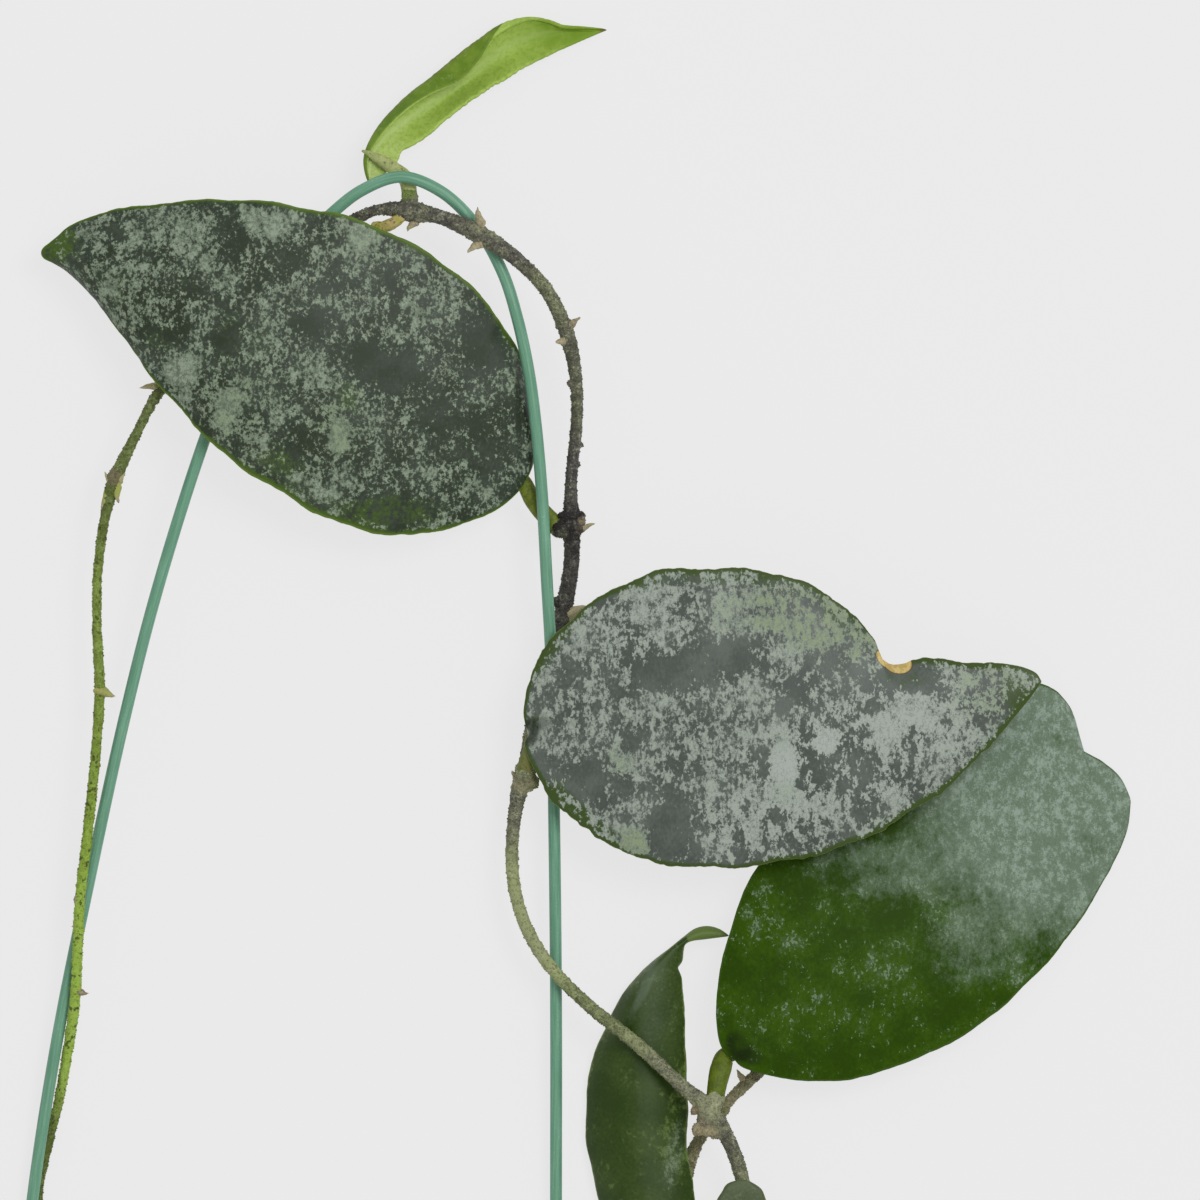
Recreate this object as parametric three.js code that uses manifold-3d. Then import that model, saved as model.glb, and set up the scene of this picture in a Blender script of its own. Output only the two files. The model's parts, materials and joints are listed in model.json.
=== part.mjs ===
// A cut length of a climbing wax plant with mottled leaves, twined through the bent wire hoop
// that it grew on, lying on a flat surface as it is seen from straight above.
//
// Units are millimetres. +X is to the right, +Y runs from the cut ends up to the young top leaf,
// and +Z points up from the surface. Routes and outlines are drawn on a plan whose zero is the
// middle of the leafy part; the finished group is then moved so that its origin is the centre of
// the base of its bounding box.
//
// A stem route is a list of [x, y, z, radius]. A leaf has two margins, each a list of [x, y] from
// the base to the tip, and a rib, a list of [x, y, z].

import * as THREE from 'three';
import { mergeVertices } from 'three/addons/utils/BufferGeometryUtils.js';
import Module from 'manifold-3d';

const wasm = await Module();
wasm.setup();

// Driving dimensions
const WIRE_RADIUS = 1.5;           // plastic coating of the hoop, outside
const WIRE_BORE = 1.05;            // inside of the coating
const CORE_RADIUS = 0.9;           // steel wire in the coating
const WIRE_SIDES = 8;
const HOOP_SLOPE = 0.058;          // the hoop rises towards its top, where the plant lifts it
const LEG_FLAT_END = -198;         // below this Y the legs lie flat on the surface
const STEM_SIDES = 7;
const PETIOLE_SIDES = 7;
const JOINT_GAP = 0.35;            // between a leaf stalk and the stem that bore it
const LEAF_THICKNESS = 1.5;        // at the rib
const SMALL_LEAF_THICKNESS = 1.2;
const RIM_THICKNESS = 0.9;         // at the margin
const YOUNG_THICKNESS = 1.1;
const RIB_RADIUS = 1.1;            // of the rib under a blade, near the stalk
const RIB_TAPER = 0.4;             // the rib's last radius as a share of its first
const RIB_SHARE = 0.55;            // how much of the blade's length the rib stands out from
const RIB_STATIONS = [0.04, 0.12, 0.3, 0.55, 1];
const RIB_DEPTH = 0.15;            // from the blade's middle down to the rib's top
const RIPPLE_COUNT = 9;            // small waves along one margin of a large leaf
const RIPPLE_PHASE = 2;            // by which the right margin's waves are ahead, in radians
const EVEN_ROWS = 0.7;             // how far the rows on the rib gather towards base and tip
const U_PROBE = 0.01;              // steps to both sides, to find a surface's direction
const V_PROBE = 0.04;
const PEG_SIDES = 5;
const PEG_PROFILE = [[0, 0], [1, 0], [0.92, 0.5], [0.5, 0.86], [0, 1]];
const STUB_BACK = 0.6;             // a stub's last straight stretch before the joint
const STUB_SWELLING = 1.1;
const STUB_MOUTH = 1.05;
const APART = 1e-3;                // keeps lines of the young leaf apart where they meet

// Rows from base to tip and columns from margin to margin
const LARGE_GRID = [36, 8];
const SMALL_GRID = [18, 6];
const YOUNG_GRID = [28, 10];

// Finishes
const finish = (color, roughness, metalness = 0) =>
  new THREE.MeshStandardMaterial({ color, roughness, metalness });
const COATING = finish(0x6c9a80, 0.45);
const STEEL = finish(0x8d9092, 0.35, 1);
const BARK = finish(0x5f6255, 0.8);
const SILVER_LEAF = finish(0x5e6559, 0.45);
const BRIGHT_SILVER_LEAF = finish(0x767c76, 0.4);
const GREEN_LEAF = finish(0x335018, 0.3);
const DARK_LEAF = finish(0x3b4b27, 0.35);
const GREY_LEAF = finish(0x6a7260, 0.6);
const YOUNG_LEAF = finish(0x74932f, 0.5);

// The hoop, seen from above, from the end of the left leg over the top to the right leg's end
const HOOP = [
  [-147.5, -210], [-146.5, -198], [-144.5, -177.5], [-141.8, -150], [-135.8, -110], [-127, -67.5],
  [-119.8, -30], [-112, 0], [-101, 33.8], [-93, 55.5], [-85.5, 73.2], [-77, 87.5], [-68, 97.2],
  [-59.5, 103.2], [-49.8, 105.8], [-39.8, 102.5], [-31.2, 94.2], [-24.2, 82], [-20.5, 70.5],
  [-17.5, 57], [-15.5, 42.5], [-14, 25], [-13, 5], [-12.2, -15], [-11.5, -52.5], [-11, -100],
  [-11, -150], [-11, -198], [-11, -210],
];

// The main stem, from its cut end, through the hoop and back down along the left leg
const MAIN_STEM = [
  [40.5, -209.5, 1.9, 1.9], [37.5, -198.8, 2.4, 1.9], [36.2, -188, 3.3, 2.6],
  [38, -172.5, 5.8, 1.7], [37.5, -157.5, 8.8, 1.7], [35.5, -144.5, 11.8, 1.8],
  [32, -135, 13.6, 1.9], [27.5, -127.5, 14.6, 3], [20.5, -120, 14.6, 1.8],
  [10, -111, 14, 1.65], [-2.5, -100.8, 12.4, 1.6], [-11, -92.5, 11.2, 1.6],
  [-17.5, -83, 10.8, 1.6], [-21.2, -72.5, 10.6, 1.6], [-22.2, -62.5, 10.6, 1.6],
  [-21.5, -52.5, 10.8, 1.8], [-20.2, -44, 10.8, 2.7], [-19.4, -39.4, 10.2, 1.9],
  [-17.5, -31.2, 9, 1.9], [-13, -18, 7.7, 2], [-9.5, -4.5, 7.8, 2.1], [-7.2, 10, 9.6, 1.9],
  [-7.2, 18.8, 10.8, 2.8], [-7.2, 30, 12.4, 1.6], [-6, 45, 14.4, 1.5], [-6, 56.2, 16, 1.7],
  [-8, 67, 17.6, 2], [-12.5, 77.5, 19.6, 1.8], [-19.5, 85, 21.4, 1.9],
  [-30, 91.5, 22.4, 2.3], [-40, 96.5, 20.4, 2], [-47.5, 98.5, 17.6, 2.6],
  [-55, 98.5, 15.4, 1.6], [-62.5, 95.2, 14.2, 1.6], [-75, 86.2, 13.2, 1.6],
  [-87.5, 73.8, 12.8, 1.6], [-101.2, 61.2, 12.6, 1.6], [-111.2, 53, 12.4, 1.7],
  [-116.8, 42.5, 12.2, 1.4], [-122, 29.5, 12.2, 1.9], [-124.2, 20, 12, 1.3],
  [-125.8, 7.5, 11.6, 1.25], [-126, -5, 11.4, 1.25], [-125.2, -22.5, 11.4, 1.4],
  [-126.2, -37.5, 11.8, 1.3], [-128, -57.5, 12.4, 1.3], [-130, -75, 12.1, 1.3],
  [-130.5, -85, 11.5, 1.3], [-130.8, -93.8, 10.7, 1.3], [-131.2, -101.2, 9.2, 1.4],
  [-133.2, -113, 5.8, 1.3], [-135.8, -125, 2.8, 1.25], [-137.8, -134.5, 1.5, 1.2],
  [-140, -147.5, 1.25, 1.2], [-140, -160, 1.25, 1.1], [-139, -177.5, 1.3, 1.1],
  [-138.8, -197.5, 1.5, 0.8],
];

// A side shoot from the lowest node, which lies under the right leaf
const SIDE_SHOOT = [
  [36.2, -188, 3.2, 1.6], [30.5, -177.5, 2, 1.4], [25, -165.5, 1.4, 1.3], [22.2, -151.2, 1.4, 1.3],
  [24.2, -137, 1.6, 1.4], [32, -125.8, 2, 1.5], [40, -117.8, 2.2, 1.3], [50, -109.2, 1.8, 1.1],
  [60.5, -101.5, 1.6, 0.8],
];

// Root pegs, bracts and old flower spurs: where each leaves the stem, its point, and its width
const PEGS = [
  { from: [-30.4, 91.8, 22.4], to: [-30.6, 97.4, 24.2], width: 1.3 },
  { from: [-30.4, 91, 22.2], to: [-32.6, 87.4, 23.6], width: 1.4 },
  { from: [-48, 97.4, 17.8], to: [-47.6, 93, 19], width: 0.9 },
  { from: [-8, 68.4, 17.8], to: [-4.8, 70.6, 19.4], width: 0.9 },
  { from: [-8.4, 65, 17.8], to: [-10.6, 64.2, 19.2], width: 1.2 },
  { from: [-7, 18.8, 11], to: [-1.8, 18.8, 12.4], width: 1.1 },
  { from: [-9, 0, 8.2], to: [-5.6, -1, 10.4], width: 1 },
  { from: [-111.4, 53, 12.6], to: [-114.8, 54.2, 13.8], width: 1 },
  { from: [-122, 29, 12.4], to: [-124.6, 25.2, 13.8], width: 0.9 },
  { from: [-121.8, 29, 12.4], to: [-120.6, 24.6, 14], width: 0.9 },
  { from: [-125, -22.8, 11.6], to: [-122.4, -24, 12.8], width: 0.8 },
  { from: [-131, -98, 10], to: [-128.2, -98.4, 11.4], width: 0.8 },
  { from: [-130.4, -81.8, 11.8], to: [-132.4, -81.6, 12.8], width: 0.6 },
  { from: [26.6, -127.4, 15.4], to: [23.4, -128.4, 16.8], width: 1 },
  { from: [27.6, -130.4, 14.8], to: [24.6, -133.4, 15.4], width: 1.3 },
  { from: [36, -122.4, 2.2], to: [33.4, -118.4, 3.6], width: 0.8 },
  { from: [-20.4, -44, 11], to: [-22.6, -41.2, 13.2], width: 1 },
  { from: [-138.8, -196.4, 1.5], to: [-138.5, -203, 1.7], width: 0.8 },
  { from: [-138.9, -193, 1.5], to: [-136.2, -198, 2], width: 0.7 },
  { from: [-138.9, -189, 1.5], to: [-141, -194, 1.8], width: 0.6 },
  { from: [59.8, -101.9, 1.6], to: [64.4, -99.2, 1.7], width: 0.8 },
];

// Rounded knobs at the nodes and small bumps between them: [x, y, z, radius]
const KNOBS = [
  [-8.5, 22.3, 12, 1.1], [-4.9, 21.8, 11.6, 1.3], [-10.9, 0.2, 8.6, 1.1],
  [31.2, -128, 15, 1.3], [24.6, -126.2, 15, 1.3], [24.6, -131.4, 15, 1.1],
  [26.4, -132.6, 14.8, 1], [-7.5, 54, 16.2, 0.8], [-4.5, 38.8, 13.4, 0.7],
  [-5.4, 33.8, 12.8, 0.8], [-131.4, -74.8, 12.4, 0.8],
];

// Yellowed bract that hangs on below the topmost node
const OLD_BRACT = [
  [-47.8, 98, 17.4, 1], [-51, 95.2, 18, 1.1], [-55.6, 93.6, 17.4, 0.9], [-58.4, 94.4, 17, 0.4],
];

// Leaf stalks, from the joint on the stem to the foot of the blade
const STALKS = {
  upperLeft: [
    [-11.2, 20.3, 10.6, 1.9], [-13.8, 22.8, 10.3, 1.9], [-16.6, 26.4, 10, 1.9],
    [-19.2, 30.2, 9.5, 1.7],
  ],
  middle: [
    [-20.4, -41.8, 14.2, 1.8], [-20, -39.4, 15.5, 1.9], [-19.2, -36.5, 15.9, 1.8],
    [-18.2, -33.6, 15.5, 1.6],
  ],
  right: [
    [29.3, -123.8, 14.6, 2.1], [30, -120.4, 14.2, 2.4], [30.9, -117, 13.3, 2.4],
    [32.6, -114, 12.2, 2],
  ],
  hanging: [
    [32.4, -189.8, 3.4, 1.7], [26, -193.6, 3.2, 1.7], [20, -196.4, 3, 1.6],
    [15, -196.2, 2.8, 1.5],
  ],
  small: [
    [36.8, -186.2, 7.1, 1.2], [36.8, -184.6, 8, 1.1], [36.6, -182.8, 8.4, 1],
    [36.5, -181.2, 8.5, 0.9],
  ],
  young: [
    [-47.9, 101.6, 16.2, 2.2], [-48.8, 105, 14.7, 2.1], [-51.6, 107.8, 14, 1.8],
    [-55.4, 110.2, 13.8, 1.4], [-58.6, 112, 13.2, 0.8],
  ],
};

// The six leaves
const UPPER_LEFT_LEAF = {
  left: [
    [-18.8, 29.8], [-16.8, 34.5], [-16.2, 40], [-17, 48.8], [-18.5, 57], [-23, 66.8], [-29, 75],
    [-36.8, 82.5], [-48.8, 90], [-62, 95.5], [-75, 98.2], [-90, 100], [-110, 99], [-122.5, 97.2],
    [-132.2, 93.5], [-139.2, 86.2],
  ],
  right: [
    [-18.8, 29.8], [-20.8, 26.8], [-26.2, 22.2], [-35, 18.8], [-47.5, 16.5], [-57.5, 17.5],
    [-70, 22], [-82.5, 29.5], [-92.5, 36.2], [-102.5, 46.8], [-111.2, 56.2], [-118.8, 66.2],
    [-125.8, 75], [-133.2, 82.5], [-139.2, 86.2],
  ],
  rib: [
    [-18.8, 29.8, 11.4], [-30, 36.5, 16.5], [-42.5, 43.8, 20.5], [-67.5, 58, 25.5],
    [-95, 71.2, 26], [-120, 81.2, 21], [-139.2, 86.2, 12],
  ],
  camber: { left: 3.6, right: 3.6 },
  ripple: 0.3,
  roll: { side: 'left', from: 0, to: 0.25, start: 0.78, depth: 3.6 },
  stalk: STALKS.upperLeft,
};

const MIDDLE_LEAF = {
  left: [
    [-18, -33.8], [-19, -28], [-17.5, -19.5], [-13.5, -11.5], [-6.2, -3.8], [4.8, 3.5], [13.8, 7],
    [25, 8], [37.5, 7.4], [44, 6.6], [50, 4.4], [56, 1], [60, -1.8], [63.2, -4.8], [66.4, -8.4],
    [68.4, -11.4], [69, -13.2], [70.8, -15.2], [73.5, -16.1], [77, -16], [78.6, -15.1],
    [82.5, -14.4], [87, -14.7], [91, -15.6], [99.3, -15.8], [105, -16.6], [108.9, -18.2],
    [110.3, -20.4],
  ],
  right: [
    [-18, -33.8], [-17.8, -38.8], [-15, -45], [-11.2, -51], [-5, -56.5], [0.5, -60.2], [8.2, -64],
    [17.5, -66.2], [32.5, -66.8], [50, -64.5], [65, -60], [76.2, -53.8], [87.5, -46.2],
    [96.2, -37.5], [103, -30], [108.5, -23], [110.3, -20.4],
  ],
  rib: [
    [-18, -33.8, 17.6], [5, -31.8, 21.2], [30, -30.5, 24], [57.5, -29, 24.5], [85, -25, 22.5],
    [110.3, -20.4, 18],
  ],
  camber: { left: 4, right: 4 },
  ripple: 0.4,
  stalk: STALKS.middle,
};

const RIGHT_LEAF = {
  left: [
    [33.8, -115], [30.5, -112], [29, -103.8], [29.5, -93.8], [31.2, -86.2], [34.2, -77.5],
    [38, -68.8], [46.2, -57.5], [57.5, -45], [71.2, -32.5], [85, -24.5], [100, -20.5],
    [111.2, -21.2], [116.5, -25], [119, -30], [120, -36], [126, -40.5], [130, -44.2], [132.5, -50],
  ],
  right: [
    [33.8, -115], [35.5, -116.5], [46.8, -119.2], [58, -120], [67.5, -118.5], [76.2, -115.5],
    [85, -112], [96, -105], [104.5, -97.5], [112, -90], [118, -82.5], [123, -75], [128, -66.2],
    [131.5, -58], [132.5, -50],
  ],
  rib: [
    [33.8, -115, 15.5], [55, -97.5, 15], [77.5, -81.2, 13], [100, -66.2, 9.5], [118.8, -56.2, 5.5],
    [132.5, -50, 1.6],
  ],
  camber: { left: 3.4, right: 3.4 },
  ripple: 0.15,
  restsOnSurface: true,
  stalk: STALKS.right,
};

const HANGING_LEAF = {
  left: [
    [15, -196.2], [10, -182.5], [3.8, -165], [0, -152.5], [-2.5, -142.5], [-3.8, -135],
    [-3.8, -127.5], [-3.2, -120], [-1.5, -112.5], [1, -107.5], [5, -98.8], [9.2, -93.8],
    [13.2, -90], [17.8, -86.8], [21, -84.4], [24, -82.2], [27, -81.6], [31.2, -83.9],
  ],
  right: [
    [15, -196.2], [22.5, -182.5], [24.5, -165], [23.8, -150], [22.2, -140.5], [21.6, -133.6],
    [22, -126.8], [21.5, -117], [21.4, -105.7], [21, -97.5], [20.3, -91.4], [21.6, -87],
    [25, -85.2], [31.2, -83.9],
  ],
  rib: [
    [15, -196.2, 4.4], [13, -177.5, 8], [11.2, -157.5, 10.4], [9.8, -137.5, 10.8],
    [9.4, -120, 10.8], [10.4, -102.5, 10.4], [14.8, -91.4, 9.2], [20.6, -86, 7.8],
    [25.4, -83.6, 7], [31.2, -83.9, 6.2],
  ],
  camber: { left: 8.6, right: 5.6 },
  ripple: 0.15,
  stalk: STALKS.hanging,
};

const SMALL_LEAF = {
  left: [
    [36.5, -181.2], [31, -175.5], [28.2, -163.8], [28.8, -153], [31.2, -147.2], [35.2, -145.2],
  ],
  right: [
    [36.5, -181.2], [41.5, -175.5], [43.2, -163.8], [41.8, -152.5], [39.2, -147], [35.2, -145.2],
  ],
  rib: [[36.5, -181.2, 9.4], [36, -162.5, 14], [35.2, -145.2, 16.4]],
  camber: { left: 1.2, right: 1.2 },
  ripple: 0.3,
  stalk: STALKS.small,
};

// The young leaf shows its underside. Its cross-section runs from the free margin over the belly
// to a fold and back over itself to the rolled-in margin. Each line is [x, y, z] from base to tip.
const YOUNG_LEAF_LINES = {
  margin: [
    [-58.5, 107, 12.6], [-54, 106.5, 12.4], [-49.8, 109.6, 11.4], [-47.5, 113, 10], [-38.5, 120, 7],
    [-28.2, 127.5, 5], [-15.5, 135, 4], [-7.2, 139, 4], [1.5, 142.8, 5],
  ],
  belly: [
    [-58.5, 107, 12.6], [-56.2, 111, 11.4], [-53.2, 115, 9], [-45, 121, 4.4], [-34, 129, 1.2],
    [-22, 137.4, 0.6], [-10, 142, 2.2], [1.5, 142.8, 5],
  ],
  fold: [
    [-58.5, 107, 12.6], [-58.9, 110.5, 12.2], [-57, 116.2, 11.2], [-51, 123.8, 8.4],
    [-42.2, 131.2, 6.2], [-32.8, 138.8, 5], [-23, 144.6, 4.6], [-17.8, 145.6, 4.2],
    [-8, 143.8, 4.6], [1.5, 142.8, 5],
  ],
  rolledMargin: [
    [-58.5, 107, 12.6], [-58.3, 110.5, 13.2], [-55.3, 116, 13], [-48.6, 123, 11.2],
    [-42.3, 127, 9.8], [-34.8, 130.2, 8.8], [-30, 135.4, 7.6], [-26.4, 141.2, 6.2],
    [-18, 144.6, 5], [-8, 143.2, 5.2], [1.5, 142.8, 5],
  ],
  stalk: STALKS.young,
};

// Curves and small maths
const vec = ([x, y, z = 0]) => new THREE.Vector3(x, y, z);
const curveThrough = (points) => new THREE.CatmullRomCurve3(points.map(vec), false, 'centripetal');
const mix = (a, b, t) => a + (b - a) * t;
const clamp01 = (t) => Math.min(1, Math.max(0, t));
const smooth = (t) => clamp01(t) ** 2 * (3 - 2 * clamp01(t));

// A closed mesh from a list of points and a list of triangles that point outwards.
function closedMesh(points, triangles) {
  const geometry = new THREE.BufferGeometry();
  const numbers = points.flatMap((p) => p.toArray());
  geometry.setAttribute('position', new THREE.Float32BufferAttribute(numbers, 3));
  geometry.setIndex(triangles.flat());
  return geometry;
}

// Rings of equal size, joined into a skin. Each ring runs anticlockwise seen along the path.
function skinTriangles(ringCount, sides, firstIndex, inward = false) {
  const triangles = [];
  for (let ring = 0; ring < ringCount - 1; ring += 1) {
    for (let side = 0; side < sides; side += 1) {
      const a = firstIndex + ring * sides + side;
      const b = firstIndex + ring * sides + ((side + 1) % sides);
      const quad = [[a, b, b + sides], [a, b + sides, a + sides]];
      triangles.push(...quad.map((t) => (inward ? t.reverse() : t)));
    }
  }
  return triangles;
}

// The points of one ring round a path, with a flat side underneath.
function ringPoints(centre, along, radius, sides) {
  const across = new THREE.Vector3(along.y, -along.x, 0).normalize();
  const up = new THREE.Vector3().crossVectors(across, along).normalize();
  return Array.from({ length: sides }, (_, side) => {
    const angle = (2 * Math.PI * (side + 0.5)) / sides;
    return centre.clone()
      .addScaledVector(across, radius * Math.sin(angle))
      .addScaledVector(up, radius * Math.cos(angle));
  });
}

// Centres, directions and radii along a route of [x, y, z, radius], with steps between points.
function stations(route, steps = 2) {
  const path = curveThrough(route);
  const radii = new THREE.CatmullRomCurve3(
    route.map((p, i) => new THREE.Vector3(i, p[3], 0)), false, 'centripetal');
  const count = (route.length - 1) * steps;
  return Array.from({ length: count + 1 }, (_, i) => ({
    centre: path.getPoint(i / count),
    along: path.getTangent(i / count),
    radius: radii.getPoint(i / count).y,
  }));
}

// A solid round rod through a list of stations, closed at both ends.
function rod(stops, sides) {
  const points = stops.flatMap((s) => ringPoints(s.centre, s.along, s.radius, sides));
  const triangles = skinTriangles(stops.length, sides, 0);
  const first = points.push(stops[0].centre) - 1;
  const last = points.push(stops[stops.length - 1].centre) - 1;
  const lastRing = (stops.length - 1) * sides;
  for (let side = 0; side < sides; side += 1) {
    const next = (side + 1) % sides;
    triangles.push([first, next, side], [last, lastRing + side, lastRing + next]);
  }
  return closedMesh(points, triangles);
}

// A hollow sleeve through a list of stations, open from end to end.
function sleeve(stops, boreRadius, sides) {
  const outer = stops.flatMap((s) => ringPoints(s.centre, s.along, s.radius, sides));
  const inner = stops.flatMap((s) => ringPoints(s.centre, s.along, boreRadius, sides));
  const triangles = [
    ...skinTriangles(stops.length, sides, 0),
    ...skinTriangles(stops.length, sides, outer.length, true),
  ];
  const lastRing = (stops.length - 1) * sides;
  for (let side = 0; side < sides; side += 1) {
    const next = (side + 1) % sides;
    const bore = outer.length;
    triangles.push([side, bore + side, bore + next], [side, bore + next, next]);
    triangles.push(
      [lastRing + side, lastRing + next, bore + lastRing + next],
      [lastRing + side, bore + lastRing + next, bore + lastRing + side]);
  }
  return closedMesh([...outer, ...inner], triangles);
}

// A pointed peg with a swollen foot, sunk into the stem.
function peg({ from, to, width }) {
  const [foot, point] = [vec(from), vec(to)];
  const length = foot.distanceTo(point);
  const profile = PEG_PROFILE.map(([r, h]) => new THREE.Vector2(r * width, h * length));
  const geometry = new THREE.LatheGeometry(profile, PEG_SIDES);
  const turn = new THREE.Quaternion().setFromUnitVectors(
    new THREE.Vector3(0, 1, 0), point.clone().sub(foot).normalize());
  return geometry.applyQuaternion(turn).translate(foot.x, foot.y, foot.z);
}

const knob = ([x, y, z, radius]) => new THREE.IcosahedronGeometry(radius).translate(x, y, z);

// Joining solids
function solidOf(geometry) {
  const bare = geometry.clone();
  bare.deleteAttribute('normal');
  bare.deleteAttribute('uv');
  const merged = mergeVertices(bare, 1e-4);
  return new wasm.Manifold(new wasm.Mesh({
    numProp: 3,
    vertProperties: new Float32Array(merged.attributes.position.array),
    triVerts: new Uint32Array(merged.index.array),
  }));
}

function fused(geometries) {
  const mesh = geometries.map(solidOf).reduce((whole, piece) => whole.add(piece)).getMesh();
  const geometry = new THREE.BufferGeometry();
  const numbers = new Float32Array(mesh.vertProperties);
  geometry.setAttribute('position', new THREE.BufferAttribute(numbers, 3));
  geometry.setIndex(new THREE.BufferAttribute(new Uint32Array(mesh.triVerts), 1));
  return geometry;
}

// A thin solid over a surface. surface(u, v) gives a point, with u from base to tip and v from
// -1 on the right margin to 1 on the left one. The base and the tip are single points.
function thinSolid(surface, thicknessAt, [uSteps, vSteps]) {
  const points = [];
  const upper = [];
  const lower = [];
  const normalAt = (u, v) => {
    const alongU = surface(Math.min(1, u + U_PROBE), v).sub(surface(Math.max(0, u - U_PROBE), v));
    const alongV = surface(u, Math.min(1, v + V_PROBE)).sub(surface(u, Math.max(-1, v - V_PROBE)));
    return new THREE.Vector3().crossVectors(alongV, alongU).normalize();
  };
  for (let row = 0; row <= uSteps; row += 1) {
    const u = row / uSteps;
    const pole = row === 0 || row === uSteps;
    const inside = Math.min(1 - 0.5 / uSteps, Math.max(0.5 / uSteps, u));
    upper.push([]);
    lower.push([]);
    for (let column = 0; column <= vSteps; column += 1) {
      const v = (2 * column) / vSteps - 1;
      if (pole && column > 0) {
        upper[row].push(upper[row][0]);
        lower[row].push(lower[row][0]);
      } else {
        const centre = surface(u, pole ? 0 : v);
        const offset = normalAt(inside, pole ? 0 : v).multiplyScalar(thicknessAt(u, v) / 2);
        upper[row].push(points.push(centre.clone().add(offset)) - 1);
        lower[row].push(points.push(centre.clone().sub(offset)) - 1);
      }
    }
  }
  const triangles = [];
  const quad = (a, b, c, d) => {
    triangles.push([a, b, c], [a, c, d]);
  };
  for (let row = 0; row < uSteps; row += 1) {
    for (let column = 0; column < vSteps; column += 1) {
      const corners = (grid) => [
        grid[row][column], grid[row][column + 1], grid[row + 1][column + 1], grid[row + 1][column],
      ];
      const [a, b, c, d] = corners(upper);
      quad(a, b, c, d);
      const [e, f, g, h] = corners(lower);
      triangles.push([e, g, f], [e, h, g]);
    }
    const end = vSteps;
    quad(upper[row][0], upper[row + 1][0], lower[row + 1][0], lower[row][0]);
    quad(upper[row + 1][end], upper[row][end], lower[row][end], lower[row + 1][end]);
  }
  return closedMesh(points, triangles.filter(([a, b, c]) => a !== b && b !== c && a !== c));
}

const leafThickness = (thick) => (u, v) =>
  mix(RIM_THICKNESS, thick, (1 - v * v) * Math.sin(Math.PI * u) ** 0.4);

// The blade of an ordinary leaf: a rib, two margins, a camber down to the margins, small waves
// along them, and where the leaf has one, a rolled-down stretch.
function bladeSurface({ left, right, rib, camber, ripple, roll }) {
  const margins = { left: curveThrough(left), right: curveThrough(right) };
  const ribCurve = curveThrough(rib);
  return (u, v) => {
    const side = v > 0 ? 'left' : 'right';
    const reach = Math.abs(v);
    const margin = margins[side].getPointAt(u);
    const tangent = margins[side].getTangentAt(clamp01(u));
    const outward = new THREE.Vector3(-tangent.y, tangent.x, 0);
    outward.multiplyScalar(side === 'left' ? 1 : -1);
    const centre = ribCurve.getPointAt(mix(u, (1 - Math.cos(Math.PI * u)) / 2, EVEN_ROWS));
    const middle = Math.sin(Math.PI * u);
    const phase = side === 'left' ? 0 : RIPPLE_PHASE;
    const wave = ripple * Math.sin(2 * Math.PI * RIPPLE_COUNT * u + phase) * middle;
    const push = wave * reach ** 6;
    let drop = camber[side] * middle ** 0.8 * reach ** 2 + wave * reach ** 4;
    if (roll && roll.side === side) {
      const window = Math.sin(Math.PI * clamp01((u - roll.from) / (roll.to - roll.from))) ** 0.5;
      drop += roll.depth * window * smooth((reach - roll.start) / (1 - roll.start));
    }
    return new THREE.Vector3(
      mix(centre.x, margin.x, reach) + outward.x * push,
      mix(centre.y, margin.y, reach) + outward.y * push,
      centre.z - drop);
  };
}

// A stalk starts a small gap away from the joint and runs on under the blade as its rib.
function stalkWithRib(stalk, rib) {
  const [first, second] = stalk.map(vec);
  const start = first.clone().add(second.clone().sub(first).setLength(JOINT_GAP));
  const curve = curveThrough(rib);
  const under = RIB_STATIONS.map((t) => {
    const p = curve.getPointAt(t * RIB_SHARE);
    const radius = mix(RIB_RADIUS, RIB_RADIUS * RIB_TAPER, t);
    return [p.x, p.y, p.z - RIB_DEPTH - radius, radius];
  });
  const route = [[...start.toArray(), stalk[0][3]], ...stalk.slice(1), ...under];
  return rod(stations(route), PETIOLE_SIDES);
}

// How far the blade's lowest point is above the surface.
function clearance(blade) {
  blade.computeBoundingBox();
  return blade.boundingBox.min.z;
}

function leaf(shape, grid = LARGE_GRID, thick = LEAF_THICKNESS) {
  const blade = thinSolid(bladeSurface(shape), leafThickness(thick), grid);
  const lowering = shape.restsOnSurface ? clearance(blade) : 0;
  const rib = shape.rib.map(([x, y, z]) => [x, y, z - lowering]);
  return fused([blade.translate(0, 0, -lowering), stalkWithRib(shape.stalk, rib)]);
}

function youngLeaf({ margin, belly, fold, rolledMargin, stalk }) {
  const lines = [margin, belly, fold, rolledMargin].map(curveThrough);
  const surface = (u, v) => {
    const stops = lines.map((line, i) => line.getPointAt(u).add(vec([0, 0, i * APART])));
    const section = new THREE.CatmullRomCurve3(stops, false, 'centripetal');
    return section.getPoint((v + 1) / 2);
  };
  const blade = thinSolid(surface, () => YOUNG_THICKNESS, YOUNG_GRID);
  blade.translate(0, 0, -clearance(blade));
  const start = vec(stalk[0]).add(vec(stalk[1]).sub(vec(stalk[0])).setLength(JOINT_GAP));
  const stalkRoute = [[...start.toArray(), stalk[0][3]], ...stalk.slice(1)];
  return fused([blade, rod(stations(stalkRoute), PETIOLE_SIDES)]);
}

// A short stub on the stem that a leaf stalk leaves, from inside the node to the joint.
function stub(nodePoint, stalk) {
  const [joint, next] = stalk.map(vec);
  const back = joint.clone().sub(next).setLength(STUB_BACK).add(joint);
  const radius = stalk[0][3];
  return rod(stations([
    [...nodePoint, radius],
    [...back.toArray(), radius * STUB_SWELLING],
    [...joint.toArray(), radius * STUB_MOUTH],
  ], 1), PETIOLE_SIDES);
}

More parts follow.
